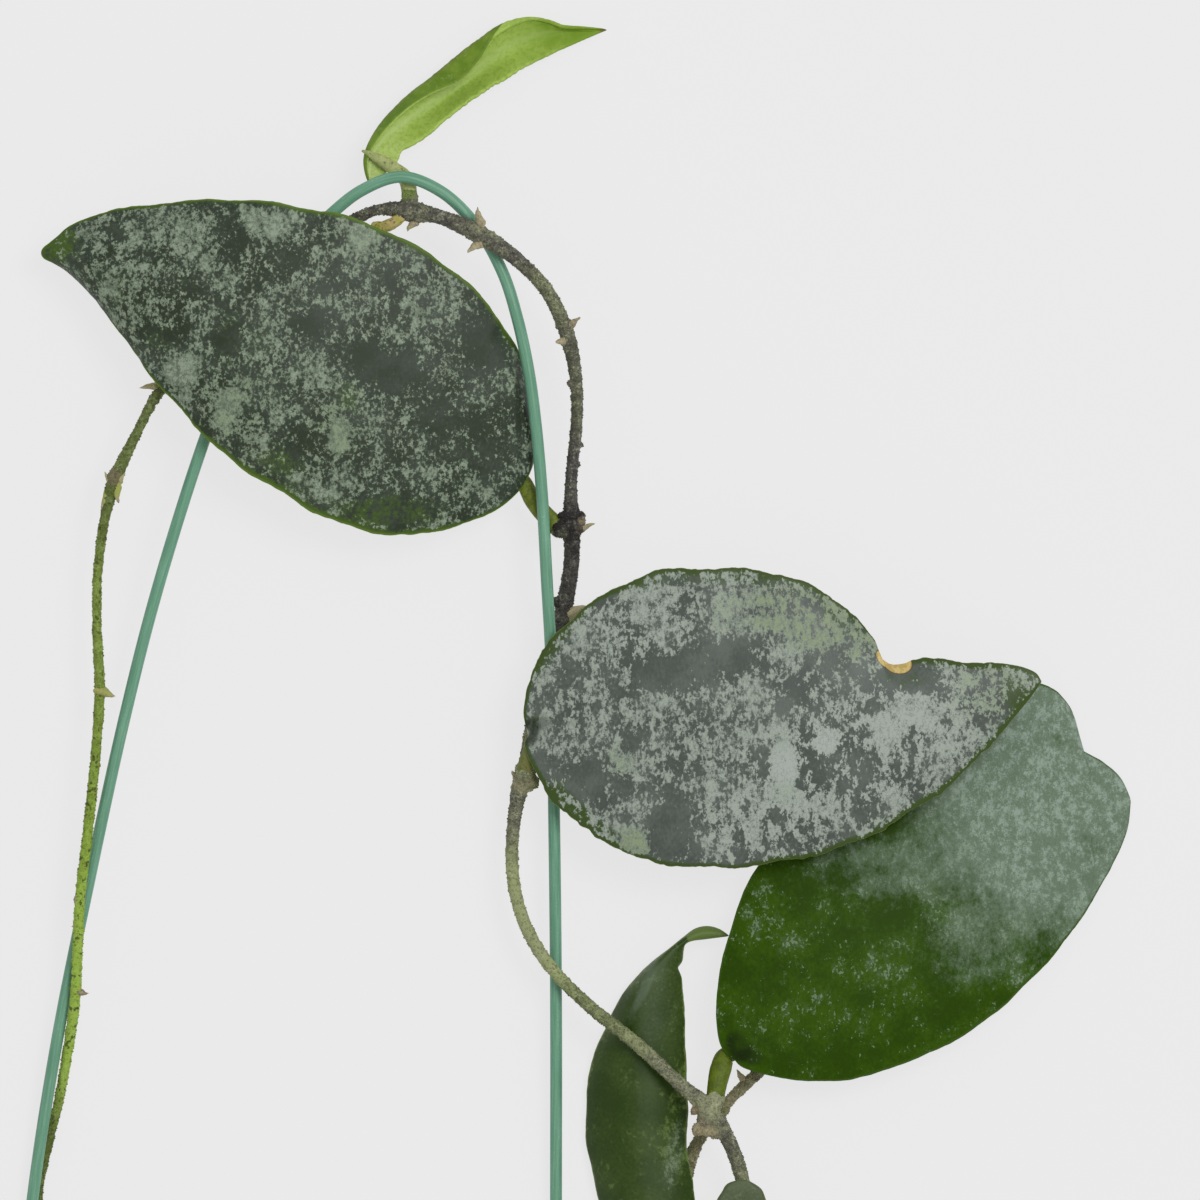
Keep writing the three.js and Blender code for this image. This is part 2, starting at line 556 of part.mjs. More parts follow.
// The hoop's line: flat on the surface at its leg ends, then rising at an even slope.
function hoopStations(radius) {
  return stations(HOOP.map(([x, y]) => [x, y, 0, radius])).map(({ centre, along }) => {
    const height = centre.y - LEG_FLAT_END;
    centre.z = WIRE_RADIUS * Math.cos(Math.PI / WIRE_SIDES) + HOOP_SLOPE * Math.max(0, height);
    along.z = height > 0.01 ? HOOP_SLOPE * along.y : 0;
    return { centre, along: along.normalize(), radius };
  });
}

function mainStem() {
  return fused([
    rod(stations(MAIN_STEM), STEM_SIDES),
    rod(stations(SIDE_SHOOT), STEM_SIDES),
    rod(stations(OLD_BRACT), PEG_SIDES),
    ...PEGS.map(peg),
    ...KNOBS.map(knob),
    stub([-7.2, 18.8, 10.8], STALKS.upperLeft),
    stub([-20.2, -44, 10.8], STALKS.middle),
    stub([27.5, -127.5, 14.6], STALKS.right),
    stub([36.2, -188, 3.3], STALKS.hanging),
    stub([36.2, -188, 3.3], STALKS.small),
    stub([-47.5, 98.5, 17.6], STALKS.young),
  ]);
}

function named(name, geometry, material) {
  const flat = geometry.index ? geometry.toNonIndexed() : geometry;
  flat.computeVertexNormals();
  const mesh = new THREE.Mesh(flat, material);
  mesh.name = name;
  return mesh;
}

const plant = new THREE.Group();
plant.add(
  named('hoop_coating', sleeve(hoopStations(WIRE_RADIUS), WIRE_BORE, WIRE_SIDES), COATING),
  named('hoop_core', rod(hoopStations(CORE_RADIUS), WIRE_SIDES), STEEL),
  named('main_stem', mainStem(), BARK),
  named('leaf_upper_left', leaf(UPPER_LEFT_LEAF), SILVER_LEAF),
  named('leaf_middle', leaf(MIDDLE_LEAF), BRIGHT_SILVER_LEAF),
  named('leaf_right', leaf(RIGHT_LEAF), GREEN_LEAF),
  named('leaf_hanging', leaf(HANGING_LEAF), DARK_LEAF),
  named('leaf_small', leaf(SMALL_LEAF, SMALL_GRID, SMALL_LEAF_THICKNESS), GREY_LEAF),
  named('leaf_young', youngLeaf(YOUNG_LEAF_LINES), YOUNG_LEAF),
);

// Stand the whole plant with its origin at the centre of the base of its bounding box
const bounds = new THREE.Box3().setFromObject(plant);
const centre = bounds.getCenter(new THREE.Vector3());
plant.position.set(-centre.x, -centre.y, -bounds.min.z);

export default plant;
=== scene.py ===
"""Looks of a cut length of a climbing wax plant that is twined through a bent wire hoop.

The plant lies on a pale floor and is seen from straight above. Every piece is built round the
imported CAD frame. Sizes here are millimetres on the CAD source's plan, where +X is to the right,
+Y runs from the cut ends up to the young leaf and +Z points up. `Plan` moves them into the
frame's metres.

A stem route is a list of (x, y, z, radius). A leaf has a rib, a list of (x, y, z) from its base
to its tip, and two margins, each a list of the (x, y) between those two.
"""

from __future__ import annotations

import json
import logging
import math
import sys
from dataclasses import dataclass
from enum import Enum
from typing import Any, Callable, Sequence

import bpy
import numpy as np
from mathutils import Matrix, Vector, kdtree, noise

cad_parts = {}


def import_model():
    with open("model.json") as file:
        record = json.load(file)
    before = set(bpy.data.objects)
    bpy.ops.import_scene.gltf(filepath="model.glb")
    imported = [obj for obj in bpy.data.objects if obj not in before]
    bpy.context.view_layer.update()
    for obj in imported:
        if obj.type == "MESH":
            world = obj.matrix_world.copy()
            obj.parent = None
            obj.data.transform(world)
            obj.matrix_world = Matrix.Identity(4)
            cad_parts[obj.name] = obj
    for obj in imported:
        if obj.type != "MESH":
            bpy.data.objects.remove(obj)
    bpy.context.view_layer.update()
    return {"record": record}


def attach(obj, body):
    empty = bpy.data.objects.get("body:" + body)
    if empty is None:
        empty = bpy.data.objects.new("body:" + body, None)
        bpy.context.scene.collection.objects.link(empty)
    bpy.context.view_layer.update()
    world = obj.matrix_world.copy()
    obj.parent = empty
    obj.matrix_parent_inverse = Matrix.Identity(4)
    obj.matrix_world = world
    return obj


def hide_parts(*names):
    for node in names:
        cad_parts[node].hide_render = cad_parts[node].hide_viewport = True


LOG = logging.getLogger("plant")

Colour = tuple[float, float, float, float]
Point = tuple[float, float, float]
Points = Sequence[Sequence[float]]
Array = np.ndarray
Faces = list[list[int]]
Shape = tuple[Array, Faces]
Values = dict[Any, Any]
Piece = bpy.types.Object
Material = bpy.types.Material

MM = 0.001
BODY = "root"

# The light that reaches a surface that faces up, and the part of it that gloss sends back
LIGHT_ON_TOP = 1.02
GLOSS_VEIL = 0.02
FAINT_VEIL = 0.004

# The domed ends of a swept tube, as shares of its radius
DOME_RADII = (0.25, 0.65, 0.92)
DOME_HEIGHT = 0.6
POLE_HEIGHT = 0.62

# Half the angle of the channel along its top, the size of the bumps on its skin, and how far
# it reaches into the joint with the stem
GROOVE_ANGLE = 0.45
SKIN_BUMP = 0.9
JOINT_OVERLAP = 0.6


class Slot(Enum):
    """The record's material slots."""

    COATING = "coating"
    WIRE = "wire"
    STEM = "stem"
    DARK_MOTTLED_LEAF = "dark_mottled_leaf"
    SILVER_MOTTLED_LEAF = "silver_mottled_leaf"
    GREEN_LEAF = "green_leaf"
    GREY_LEAF = "grey_leaf"
    YOUNG_LEAF = "young_leaf"


class Side(Enum):
    """The halves of a leaf, seen from above with the tip up."""

    LEFT = 1
    RIGHT = -1


# Routes of the wire, the stems and the leaf stalks, close to those in the CAD source

HOOP = [
    (-147.5, -210), (-146.5, -198), (-144.6, -177.5), (-142, -150), (-135.8, -110), (-127.2, -67.5),
    (-119, -30), (-111.4, 0), (-101, 33.8), (-93, 55.5), (-85.2, 72.9), (-76.4, 86.8), (-67.3, 96.3),
    (-59.2, 102.5), (-49.7, 105.7), (-40, 102.2), (-31.4, 94.1), (-24.4, 82), (-20.7, 70.5), (-17.8, 57),
    (-15.9, 42.5), (-14.4, 25), (-13.3, 5), (-12.2, -15), (-11.5, -52.5), (-11, -100), (-11, -150),
    (-11, -198), (-11, -210),
]
HOOP_SLOPE = 0.058
LEG_FLAT_END = -198
WIRE_RADIUS = 1.5
WIRE_BORE = 1.05
CORE_RADIUS = 0.9
WIRE_HEIGHT = 1.386

MAIN_STEM = [
    (40.5, -209.5, 1.9, 1.9), (37.5, -198.8, 2.4, 1.9), (36.2, -188, 3.3, 2.6), (38, -172.5, 5.8, 1.7),
    (37.5, -157.5, 8.8, 1.7), (35.5, -144.5, 11.8, 1.8), (32.1, -135, 13.6, 1.85),
    (27.5, -127.5, 14.6, 2.2), (19.8, -120.8, 14.6, 1.7), (9.7, -111.4, 14, 1.65),
    (-2.9, -101.3, 12.4, 1.6), (-11.4, -92.9, 11.2, 1.6), (-17.8, -83.2, 10.8, 1.6),
    (-21.3, -72.5, 10.6, 1.6), (-22, -62.5, 10.6, 1.6), (-21.1, -52.5, 10.8, 1.75),
    (-19.4, -44.4, 10.8, 2.3), (-18.3, -39.4, 10.2, 1.8), (-16.9, -31.2, 9, 1.8), (-13, -18, 7.7, 2),
    (-9.5, -4.5, 7.8, 2.1), (-7.1, 10, 9.6, 1.95), (-7.2, 18.8, 10.8, 2.1), (-7.2, 30, 12.4, 1.5),
    (-5.8, 45, 14.4, 1.5), (-6.1, 56.2, 16, 1.6), (-8.4, 66.8, 17.6, 1.9), (-13.1, 77, 19.6, 1.75),
    (-20, 84.4, 21.4, 1.8), (-30, 91.2, 22.4, 2.3), (-40, 95.7, 20.4, 1.8), (-47.3, 97, 17.6, 2.5),
    (-55, 97.6, 15.4, 1.4), (-62.2, 94.6, 14.2, 1.5), (-75, 86.2, 13.2, 1.6), (-87.5, 73.8, 12.8, 1.6),
    (-100.4, 61, 12.6, 1.5), (-110, 52.2, 12.4, 1.35), (-115.7, 41.9, 12.2, 1.2),
    (-121.5, 29.4, 12.2, 1.75), (-123.9, 20, 12, 1.25), (-125.5, 7.5, 11.6, 1.2), (-125.8, -5, 11.4, 1.2),
    (-125.1, -22.5, 11.4, 1.3), (-126, -37.5, 11.8, 1.25), (-128, -57.5, 12.4, 1.3),
    (-130, -75, 12.1, 1.3), (-130.5, -85, 11.5, 1.3), (-130.9, -93.8, 10.7, 1.3),
    (-131.4, -101.2, 9.2, 1.35), (-133.2, -113, 5.8, 1.3), (-135.4, -125, 2.8, 1.25),
    (-137.7, -134.5, 1.5, 1.2), (-140.5, -147.5, 1.25, 1.2), (-140.4, -160, 1.25, 1.1),
    (-139, -177.5, 1.3, 1.1), (-138.8, -197.5, 1.5, 0.8),
]

SIDE_SHOOT = [
    (36.2, -188, 3.2, 1.6), (30.5, -177.5, 2, 1.4), (24.4, -165.5, 1.4, 1.3), (21.2, -151.2, 1.6, 1.5),
    (23.7, -137.3, 1.7, 1.6), (32, -125.8, 1.8, 1.4), (40, -117.9, 1.8, 1.5), (50, -109.2, 1.6, 1.1),
    (60.5, -101.5, 1.6, 0.8),
]

OLD_BRACT = [
    (-48.4, 96.6, 17.4, 1), (-50.6, 94.9, 18, 1.35), (-54, 93.2, 17.2, 1.5), (-56.6, 93.4, 16.6, 1.1),
]

UPPER_LEFT_STALK = [
    (-10.9, 18.6, 10.6, 2.5), (-13.8, 21.3, 10.3, 2.35), (-16.9, 25.2, 10, 2.2), (-19.3, 29.8, 9.5, 1.9),
]
MIDDLE_STALK = [
    (-18.8, -42.4, 14.2, 2.3), (-18.2, -39.8, 15.4, 1.9), (-17.5, -36.8, 15.8, 1.6),
    (-17, -33.8, 15.5, 1.4),
]
RIGHT_STALK = [
    (28.9, -123.8, 14.6, 2.35), (29.4, -120.6, 14.2, 2.5), (30.2, -117.2, 13.3, 2.7),
    (31.5, -114, 12.2, 2.3),
]
HANGING_STALK = [
    (32.4, -189.8, 3.4, 1.7), (26, -193.6, 3.2, 1.7), (20, -196.4, 3, 1.6), (15, -196.2, 2.8, 1.5),
]
SMALL_STALK = [
    (36.8, -186.2, 7.1, 1.2), (36.8, -184.6, 8, 1.1), (36.6, -182.8, 8.4, 1), (36.5, -181.2, 8.5, 0.9),
]
YOUNG_STALK = [
    (-47.6, 101.4, 16.2, 2), (-48.4, 105, 14.7, 2), (-51.2, 107.6, 14, 1.8), (-55, 110, 13.8, 1.4),
    (-58, 111.7, 13.2, 0.7), (-59.4, 112.3, 12.9, 0.3),
]


@dataclass(frozen=True)
class Plan:
    """The place of the CAD source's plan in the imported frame.

    Attributes:
        shift: What is added to plan millimetres.
    """

    shift: Point

    @classmethod
    def of(cls, record: dict[str, Any]) -> Plan:
        """Reads the shift from the mount at the right leg's end, whose plan place is known.

        Args:
            record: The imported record.

        Returns:
            The plan's place.
        """
        mount = next(m for m in record["mounts"] if m["name"] == "right_leg_end")
        x, y, _ = mount["pos_m"]
        leg_x, leg_y = HOOP[-1]
        return cls((x / MM - leg_x, y / MM - leg_y, 0.0))

    def metres(self, points: Array) -> Array:
        """Turns plan millimetres into the frame's metres."""
        return (np.asarray(points, float) + self.shift) * MM

    def millimetres(self, points: Array) -> Array:
        """Turns the frame's metres into plan millimetres."""
        return np.asarray(points, float) / MM - self.shift


class Spline:
    """A centripetal Catmull-Rom curve through points, as the CAD source draws its curves."""

    SAMPLES_PER_SPAN = 40

    def __init__(self, points: Points) -> None:
        """Works out the curve's spans.

        Args:
            points: The points that the curve passes through.
        """
        given = np.asarray(points, float)
        self.spans = len(given) - 1
        padded = np.vstack([2 * given[0] - given[1], given, 2 * given[-1] - given[-2]])
        gaps = np.linalg.norm(np.diff(padded, axis=0), axis=1) ** 0.5
        before, here, after = gaps[:-2, None], gaps[1:-1, None], gaps[2:, None]
        p0, p1, p2, p3 = padded[:-3], padded[1:-2], padded[2:-1], padded[3:]
        self._start = p1
        self._end = p2
        self._leave = here * (
            (p1 - p0) / before - (p2 - p0) / (before + here) + (p2 - p1) / here
        )
        self._arrive = here * (
            (p2 - p1) / here - (p3 - p1) / (here + after) + (p3 - p2) / after
        )
        self._table = np.linspace(0, self.spans, self.spans * self.SAMPLES_PER_SPAN + 1)
        steps = np.linalg.norm(np.diff(self.at(self._table), axis=0), axis=1)
        self._lengths = np.concatenate([[0], np.cumsum(steps)])

    @property
    def length(self) -> float:
        """The curve's length."""
        return float(self._lengths[-1])

    def at(self, place: Array) -> Array:
        """Points at places counted in spans, from 0 to the number of spans.

        Args:
            place: The places.

        Returns:
            The points.
        """
        place = np.clip(np.atleast_1d(place), 0, self.spans)
        span = np.minimum(place.astype(int), self.spans - 1)
        t = (place - span)[:, None]
        start, end = self._start[span], self._end[span]
        leave, arrive = self._leave[span], self._arrive[span]
        return (
            start
            + leave * t
            + (3 * (end - start) - 2 * leave - arrive) * t**2
            + (2 * (start - end) + leave + arrive) * t**3
        )

    def place_of(self, share: Array) -> Array:
        """Places, in spans, that lie at shares of the curve's length from 0 to 1."""
        return np.interp(np.asarray(share) * self.length, self._lengths, self._table)

    def even(self, share: Array) -> Array:
        """Points at shares of the curve's length."""
        return self.at(self.place_of(share))

    def heading(self, share: Array) -> Array:
        """Unit directions at shares of the curve's length.

        Args:
            share: The shares.

        Returns:
            The directions.
        """
        step = 1e-4
        ahead = self.even(np.clip(np.asarray(share) + step, 0, 1))
        behind = self.even(np.clip(np.asarray(share) - step, 0, 1))
        return unit(ahead - behind)


def unit(vectors: Array) -> Array:
    """Scales each vector to length 1."""
    return vectors / np.maximum(np.linalg.norm(vectors, axis=-1, keepdims=True), 1e-12)


def smooth(value: Array) -> Array:
    """A smooth step from 0 at 0 to 1 at 1."""
    held = np.clip(value, 0, 1)
    return held * held * (3 - 2 * held)


def rough(points: Array, grain: float, seed: float) -> Array:
    """Smooth noise from about -1 to 1.

    Args:
        points: An array of points, the last axis with two or three numbers.
        grain: The size of one bump.
        seed: Moves the noise, so that two calls differ.

    Returns:
        One number for each point.
    """
    flat = np.asarray(points, float).reshape(-1, points.shape[-1]) / grain
    if flat.shape[1] < 3:
        flat = np.hstack([flat, np.zeros((len(flat), 3 - flat.shape[1]))])
    flat = flat + seed * np.array([1.0, 1.7, 2.3])
    values = np.array([noise.noise(Vector(p)) for p in flat])
    return values.reshape(points.shape[:-1])


def display(red: float, green: float, blue: float) -> Array:
    """Linear light of a display colour from 0 to 255."""
    share = np.array([red, green, blue], float) / 255
    return np.where(share <= 0.04045, share / 12.92, ((share + 0.055) / 1.055) ** 2.4)


def seen(red: float, green: float, blue: float, veil: float = GLOSS_VEIL) -> Colour:
    """The base colour of a surface that looks like a display colour under the studio's light."""
    base = np.clip((display(red, green, blue) - veil) / LIGHT_ON_TOP, 0.001, 1)
    return (float(base[0]), float(base[1]), float(base[2]), 1.0)


def dim(red: float, green: float, blue: float) -> Colour:
    """The base colour of a surface with next to no gloss that looks like a display colour."""
    return seen(red, green, blue, FAINT_VEIL)


def operator(operation: str, turned: bool = False) -> Callable[[Wire, Any], Wire]:
    """Makes one of Python's operators for wires.

    Args:
        operation: The operation of the Math node that it adds.
        turned: Whether the other value comes first.

    Returns:
        The operator.
    """

    def apply(wire: Wire, other: Any) -> Wire:
        """Adds the Math node."""
        first, second = (other, wire) if turned else (wire, other)
        return wire.graph.add("ShaderNodeMath", {"operation": operation}, {0: first, 1: second})

    return apply


class Wire:
    """A node's output that Python's operators work on. Each operator adds a Math node."""

    def __init__(self, graph: Graph, socket: bpy.types.NodeSocket) -> None:
        """Wraps an output socket of the graph that new nodes go into."""
        self.graph = graph
        self.socket = socket

    __add__ = operator("ADD")
    __radd__ = operator("ADD", turned=True)
    __sub__ = operator("SUBTRACT")
    __rsub__ = operator("SUBTRACT", turned=True)
    __mul__ = operator("MULTIPLY")
    __rmul__ = operator("MULTIPLY", turned=True)
    __truediv__ = operator("DIVIDE")
    __pow__ = operator("POWER")

    def step(self, low: float, high: float) -> Wire:
        """A smooth step from 0 at low to 1 at high, which may be below low.

        Args:
            low: Where it starts.
            high: Where it ends.

        Returns:
            The step.
        """
        first, last = sorted((low, high))
        rising = self.graph.add(
            "ShaderNodeMapRange", {"interpolation_type": "SMOOTHSTEP"}, {0: self, 1: first, 2: last})
        return rising if low <= high else 1 - rising


class Graph:
    """A node tree that is written as expressions."""

    def __init__(self, tree: bpy.types.NodeTree) -> None:
        """Wraps the tree that nodes go into."""
        self.tree = tree

    def node(
        self, kind: str, settings: Values | None = None, inputs: Values | None = None,
    ) -> bpy.types.Node:
        """Adds a node.

        Args:
            kind: The node's type.
            settings: Its properties, set first.
            inputs: Values, wires or sockets for its inputs, by index or name.

        Returns:
            The node.
        """
        node = self.tree.nodes.new(kind)
        for name, value in (settings or {}).items():
            setattr(node, name, value)
        for key, value in (inputs or {}).items():
            self._feed(node.inputs[key], value)
        return node

    def add(
        self, kind: str, settings: Values | None = None, inputs: Values | None = None,
        output: int | str = 0,
    ) -> Wire:
        """Adds a node and gives one of its outputs as a wire."""
        return Wire(self, self.node(kind, settings, inputs).outputs[output])

    def _feed(self, socket: bpy.types.NodeSocket, value: Any) -> None:
        """Links a wire or socket to an input, or sets the input's own value.

        Args:
            socket: The input.
            value: What it gets.
        """
        if isinstance(value, Wire):
            value = value.socket
        if isinstance(value, bpy.types.NodeSocket):
            self.tree.links.new(value, socket)
        else:
            socket.default_value = value


class Paint(Graph):
    """A material's nodes, on object coordinates in millimetres and on mesh attributes."""

    def __init__(self, name: str) -> None:
        """Makes an empty material.

        Args:
            name: Its name.
        """
        self.material = bpy.data.materials.new(name)
        self.material.use_nodes = True
        super().__init__(self.material.node_tree)
        self.tree.nodes.clear()
        place = self.add("ShaderNodeTexCoord", output="Object")
        self.place = self.add(
            "ShaderNodeVectorMath", {"operation": "SCALE"}, {0: place, "Scale": 1 / MM})

    def drawn(self, length: float) -> Wire:
        """The place for a pattern that is longer from top to bottom of the plan."""
        return self.add(
            "ShaderNodeVectorMath", {"operation": "MULTIPLY"}, {0: self.place, 1: (1, 1 / length, 1)})

    def number(self, name: str) -> Wire:
        """A mesh attribute that holds one number."""
        return self.add("ShaderNodeAttribute", {"attribute_name": name}, output="Fac")

    def grain(
        self, size: float, detail: float = 2.0, roughness: float = 0.5, place: Wire | None = None,
    ) -> Wire:
        """Noise from 0 to 1, mostly near a half.

        Args:
            size: The size of one bump in millimetres.
            detail: How many finer layers it has.
            roughness: How strong the finer layers are.
            place: Where it is read, if not at the object coordinates.

        Returns:
            The noise.
        """
        values = {
            "Vector": place or self.place, "Scale": 1 / size, "Detail": detail,
            "Roughness": roughness,
        }
        return self.add("ShaderNodeTexNoise", None, values)

    def cells(self, size: float) -> Wire:
        """A random number from 0 to 1 in each of many small cells."""
        colour = self.add(
            "ShaderNodeTexVoronoi", None, {"Vector": self.place, "Scale": 1 / size}, "Color")
        return self.add("ShaderNodeSeparateColor", None, {0: colour})

    def blend(self, share: Any, first: Any, second: Any) -> Wire:
        """A mix of two colours: the first at share 0 and the second at 1."""
        settings = {"data_type": "RGBA", "clamp_factor": True}
        return self.add("ShaderNodeMix", settings, {0: share, 6: first, 7: second}, output=2)

    def relief(self, height: Wire, depth: float) -> Wire:
        """A normal from a height from 0 to 1 that stands for a depth in millimetres."""
        return self.add("ShaderNodeBump", None, {"Height": height, "Distance": depth * MM})

    def finish(self, colour: Any, **inputs: Any) -> Material:
        """Ends the material in a Principled shader.

        Args:
            colour: The base colour.
            **inputs: Values of the shader's other inputs, spaces written as underscores.

        Returns:
            The material.
        """
        values = {name.replace("_", " "): value for name, value in inputs.items()}
        shader = self.add("ShaderNodeBsdfPrincipled", None, {"Base Color": colour, **values})
        self.node("ShaderNodeOutputMaterial", None, {"Surface": shader})
        return self.material


class Grower(Graph):
    """A Geometry Nodes tree with named inputs for its sizes."""

    def __init__(self, name: str) -> None:
        """Makes a tree with a geometry input and output.

        Args:
            name: Its name.
        """
        super().__init__(bpy.data.node_groups.new(name, "GeometryNodeTree"))
        self._socket("Geometry", "INPUT", "NodeSocketGeometry")
        self._socket("Geometry", "OUTPUT", "NodeSocketGeometry")
        self._values: dict[str, float] = {}
        self._inputs = self.node("NodeGroupInput")
        self.given = Wire(self, self._inputs.outputs["Geometry"])

    def _socket(self, name: str, way: str, kind: str) -> Any:
        """Adds a socket to the tree's interface."""
        return self.tree.interface.new_socket(name=name, in_out=way, socket_type=kind)

    def size(self, name: str, value: float) -> Wire:
        """A named input for a size.

        Args:
            name: The input's name.
            value: What it is set to.

        Returns:
            The input as a wire.
        """
        kind = "NodeSocketInt" if isinstance(value, int) else "NodeSocketFloat"
        item = self._socket(name, "INPUT", kind)
        self._values[item.identifier] = value
        return Wire(self, self._inputs.outputs[name])

    def marked(self, geometry: Any, name: str, value: Any) -> Wire:
        """Geometry whose points carry a named number."""
        return self.add(
            "GeometryNodeStoreNamedAttribute", None,
            {"Geometry": geometry, "Name": name, "Value": value})

    def named(self, name: str, kind: str = "FLOAT") -> Wire:
        """What the points carry under a name."""
        return self.add("GeometryNodeInputNamedAttribute", {"data_type": kind}, {"Name": name})

    def shaded(self, geometry: Wire) -> Wire:
        """Geometry with smooth shading."""
        return self.add(
            "GeometryNodeSetShadeSmooth", None, {"Geometry": geometry, "Shade Smooth": True})

    def strewn(self, count: float, seed: int) -> bpy.types.Node:
        """Random points on the given faces, so many on each square millimetre."""
        sizes = {"Density": self.size("Density", count / MM**2), "Seed": self.size("Seed", seed)}
        return self.node("GeometryNodeDistributePointsOnFaces", None, {"Mesh": self.given, **sizes})

    def between(self, smallest: float, largest: float, seed: int) -> Wire:
        """A random size between two named ones."""
        sizes = {2: self.size("Smallest", smallest), 3: self.size("Largest", largest)}
        return self.add("FunctionNodeRandomValue", None, {**sizes, "Seed": seed}, 1)

    def planted(self, points: Any, thing: Wire, turn: Any, stretch: Wire) -> Wire:
        """A thing on each of the points, turned and stretched."""
        return self.add(
            "GeometryNodeInstanceOnPoints", None,
            {"Points": points, "Instance": thing, "Rotation": turn, "Scale": stretch})

    def run(self, start: Piece, result: Wire, material: Material, name: str) -> Piece:
        """Ends the tree, runs it on an object and makes its result a plain mesh.

        Args:
            start: The object that it runs on, which is removed.
            result: The geometry that the tree makes.
            material: The material of all of it.
            name: The new object's name.

        Returns:
            The new object.
        """
        real = self.add("GeometryNodeRealizeInstances", None, {0: result})
        dressed = self.add("GeometryNodeSetMaterial", None, {"Geometry": real, "Material": material})
        self.node("NodeGroupOutput", None, {"Geometry": dressed})
        modifier = start.modifiers.new("grow", "NODES")
        modifier.node_group = self.tree
        for identifier, value in self._values.items():
            modifier[identifier] = value
        return plain_copy(start, name)


def linked(name: str, data: bpy.types.ID) -> Piece:
    """An object of a name and with some data, in the scene.

    Args:
        name: Its name.
        data: Its data.

    Returns:
        The object.
    """
    thing = bpy.data.objects.new(name, data)
    bpy.context.scene.collection.objects.link(thing)
    return thing


def plain_copy(start: Piece, name: str) -> Piece:
    """Turns an object into a plain mesh object of what its modifiers make.

    Args:
        start: The object, which is removed.
        name: The new object's name.

    Returns:
        The new object.
    """
    bpy.context.view_layer.update()
    graph = bpy.context.evaluated_depsgraph_get()
    mesh = bpy.data.meshes.new_from_object(start.evaluated_get(graph), depsgraph=graph)
    mesh.name = name
    bpy.data.objects.remove(start, do_unlink=True)
    return linked(name, mesh)


def add_numbers(mesh: bpy.types.Mesh, numbers: Values) -> None:
    """Gives a mesh attributes, each with one number for each vertex.

    Args:
        mesh: The mesh.
        numbers: The numbers, by the name of their attribute.
    """
    for title, values in numbers.items():
        layer = mesh.attributes.new(title, "FLOAT", "POINT")
        layer.data.foreach_set("value", np.asarray(values, np.float32))


def new_piece(
    name: str, points: Array, faces: Faces, material: Material | None = None,
    numbers: Values | None = None,
) -> Piece:
    """Makes a smooth mesh object.

    Args:
        name: Its name.
        points: Its vertices, in the frame's metres.
        faces: Its faces, as lists of vertex numbers.
        material: Its material.
        numbers: Mesh attributes, one number for each vertex.

    Returns:
        The object.
    """
    mesh = bpy.data.meshes.new(name)
    mesh.from_pydata(points.tolist(), [], faces)
    mesh.shade_smooth()
    add_numbers(mesh, numbers or {})
    if material:
        mesh.materials.append(material)
    return linked(name, mesh)


def settle(piece: Piece, slot: Slot, *nodes: str) -> None:
    """Lets a piece ride on the plant and stand for CAD nodes.

    Args:
        piece: The finished piece.
        slot: The material slot that its finish comes from; not used.
        *nodes: The CAD nodes that it stands for.
    """
    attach(piece, BODY)
    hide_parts(*nodes)
    LOG.info("%s: %d faces", piece.name, len(piece.data.polygons))


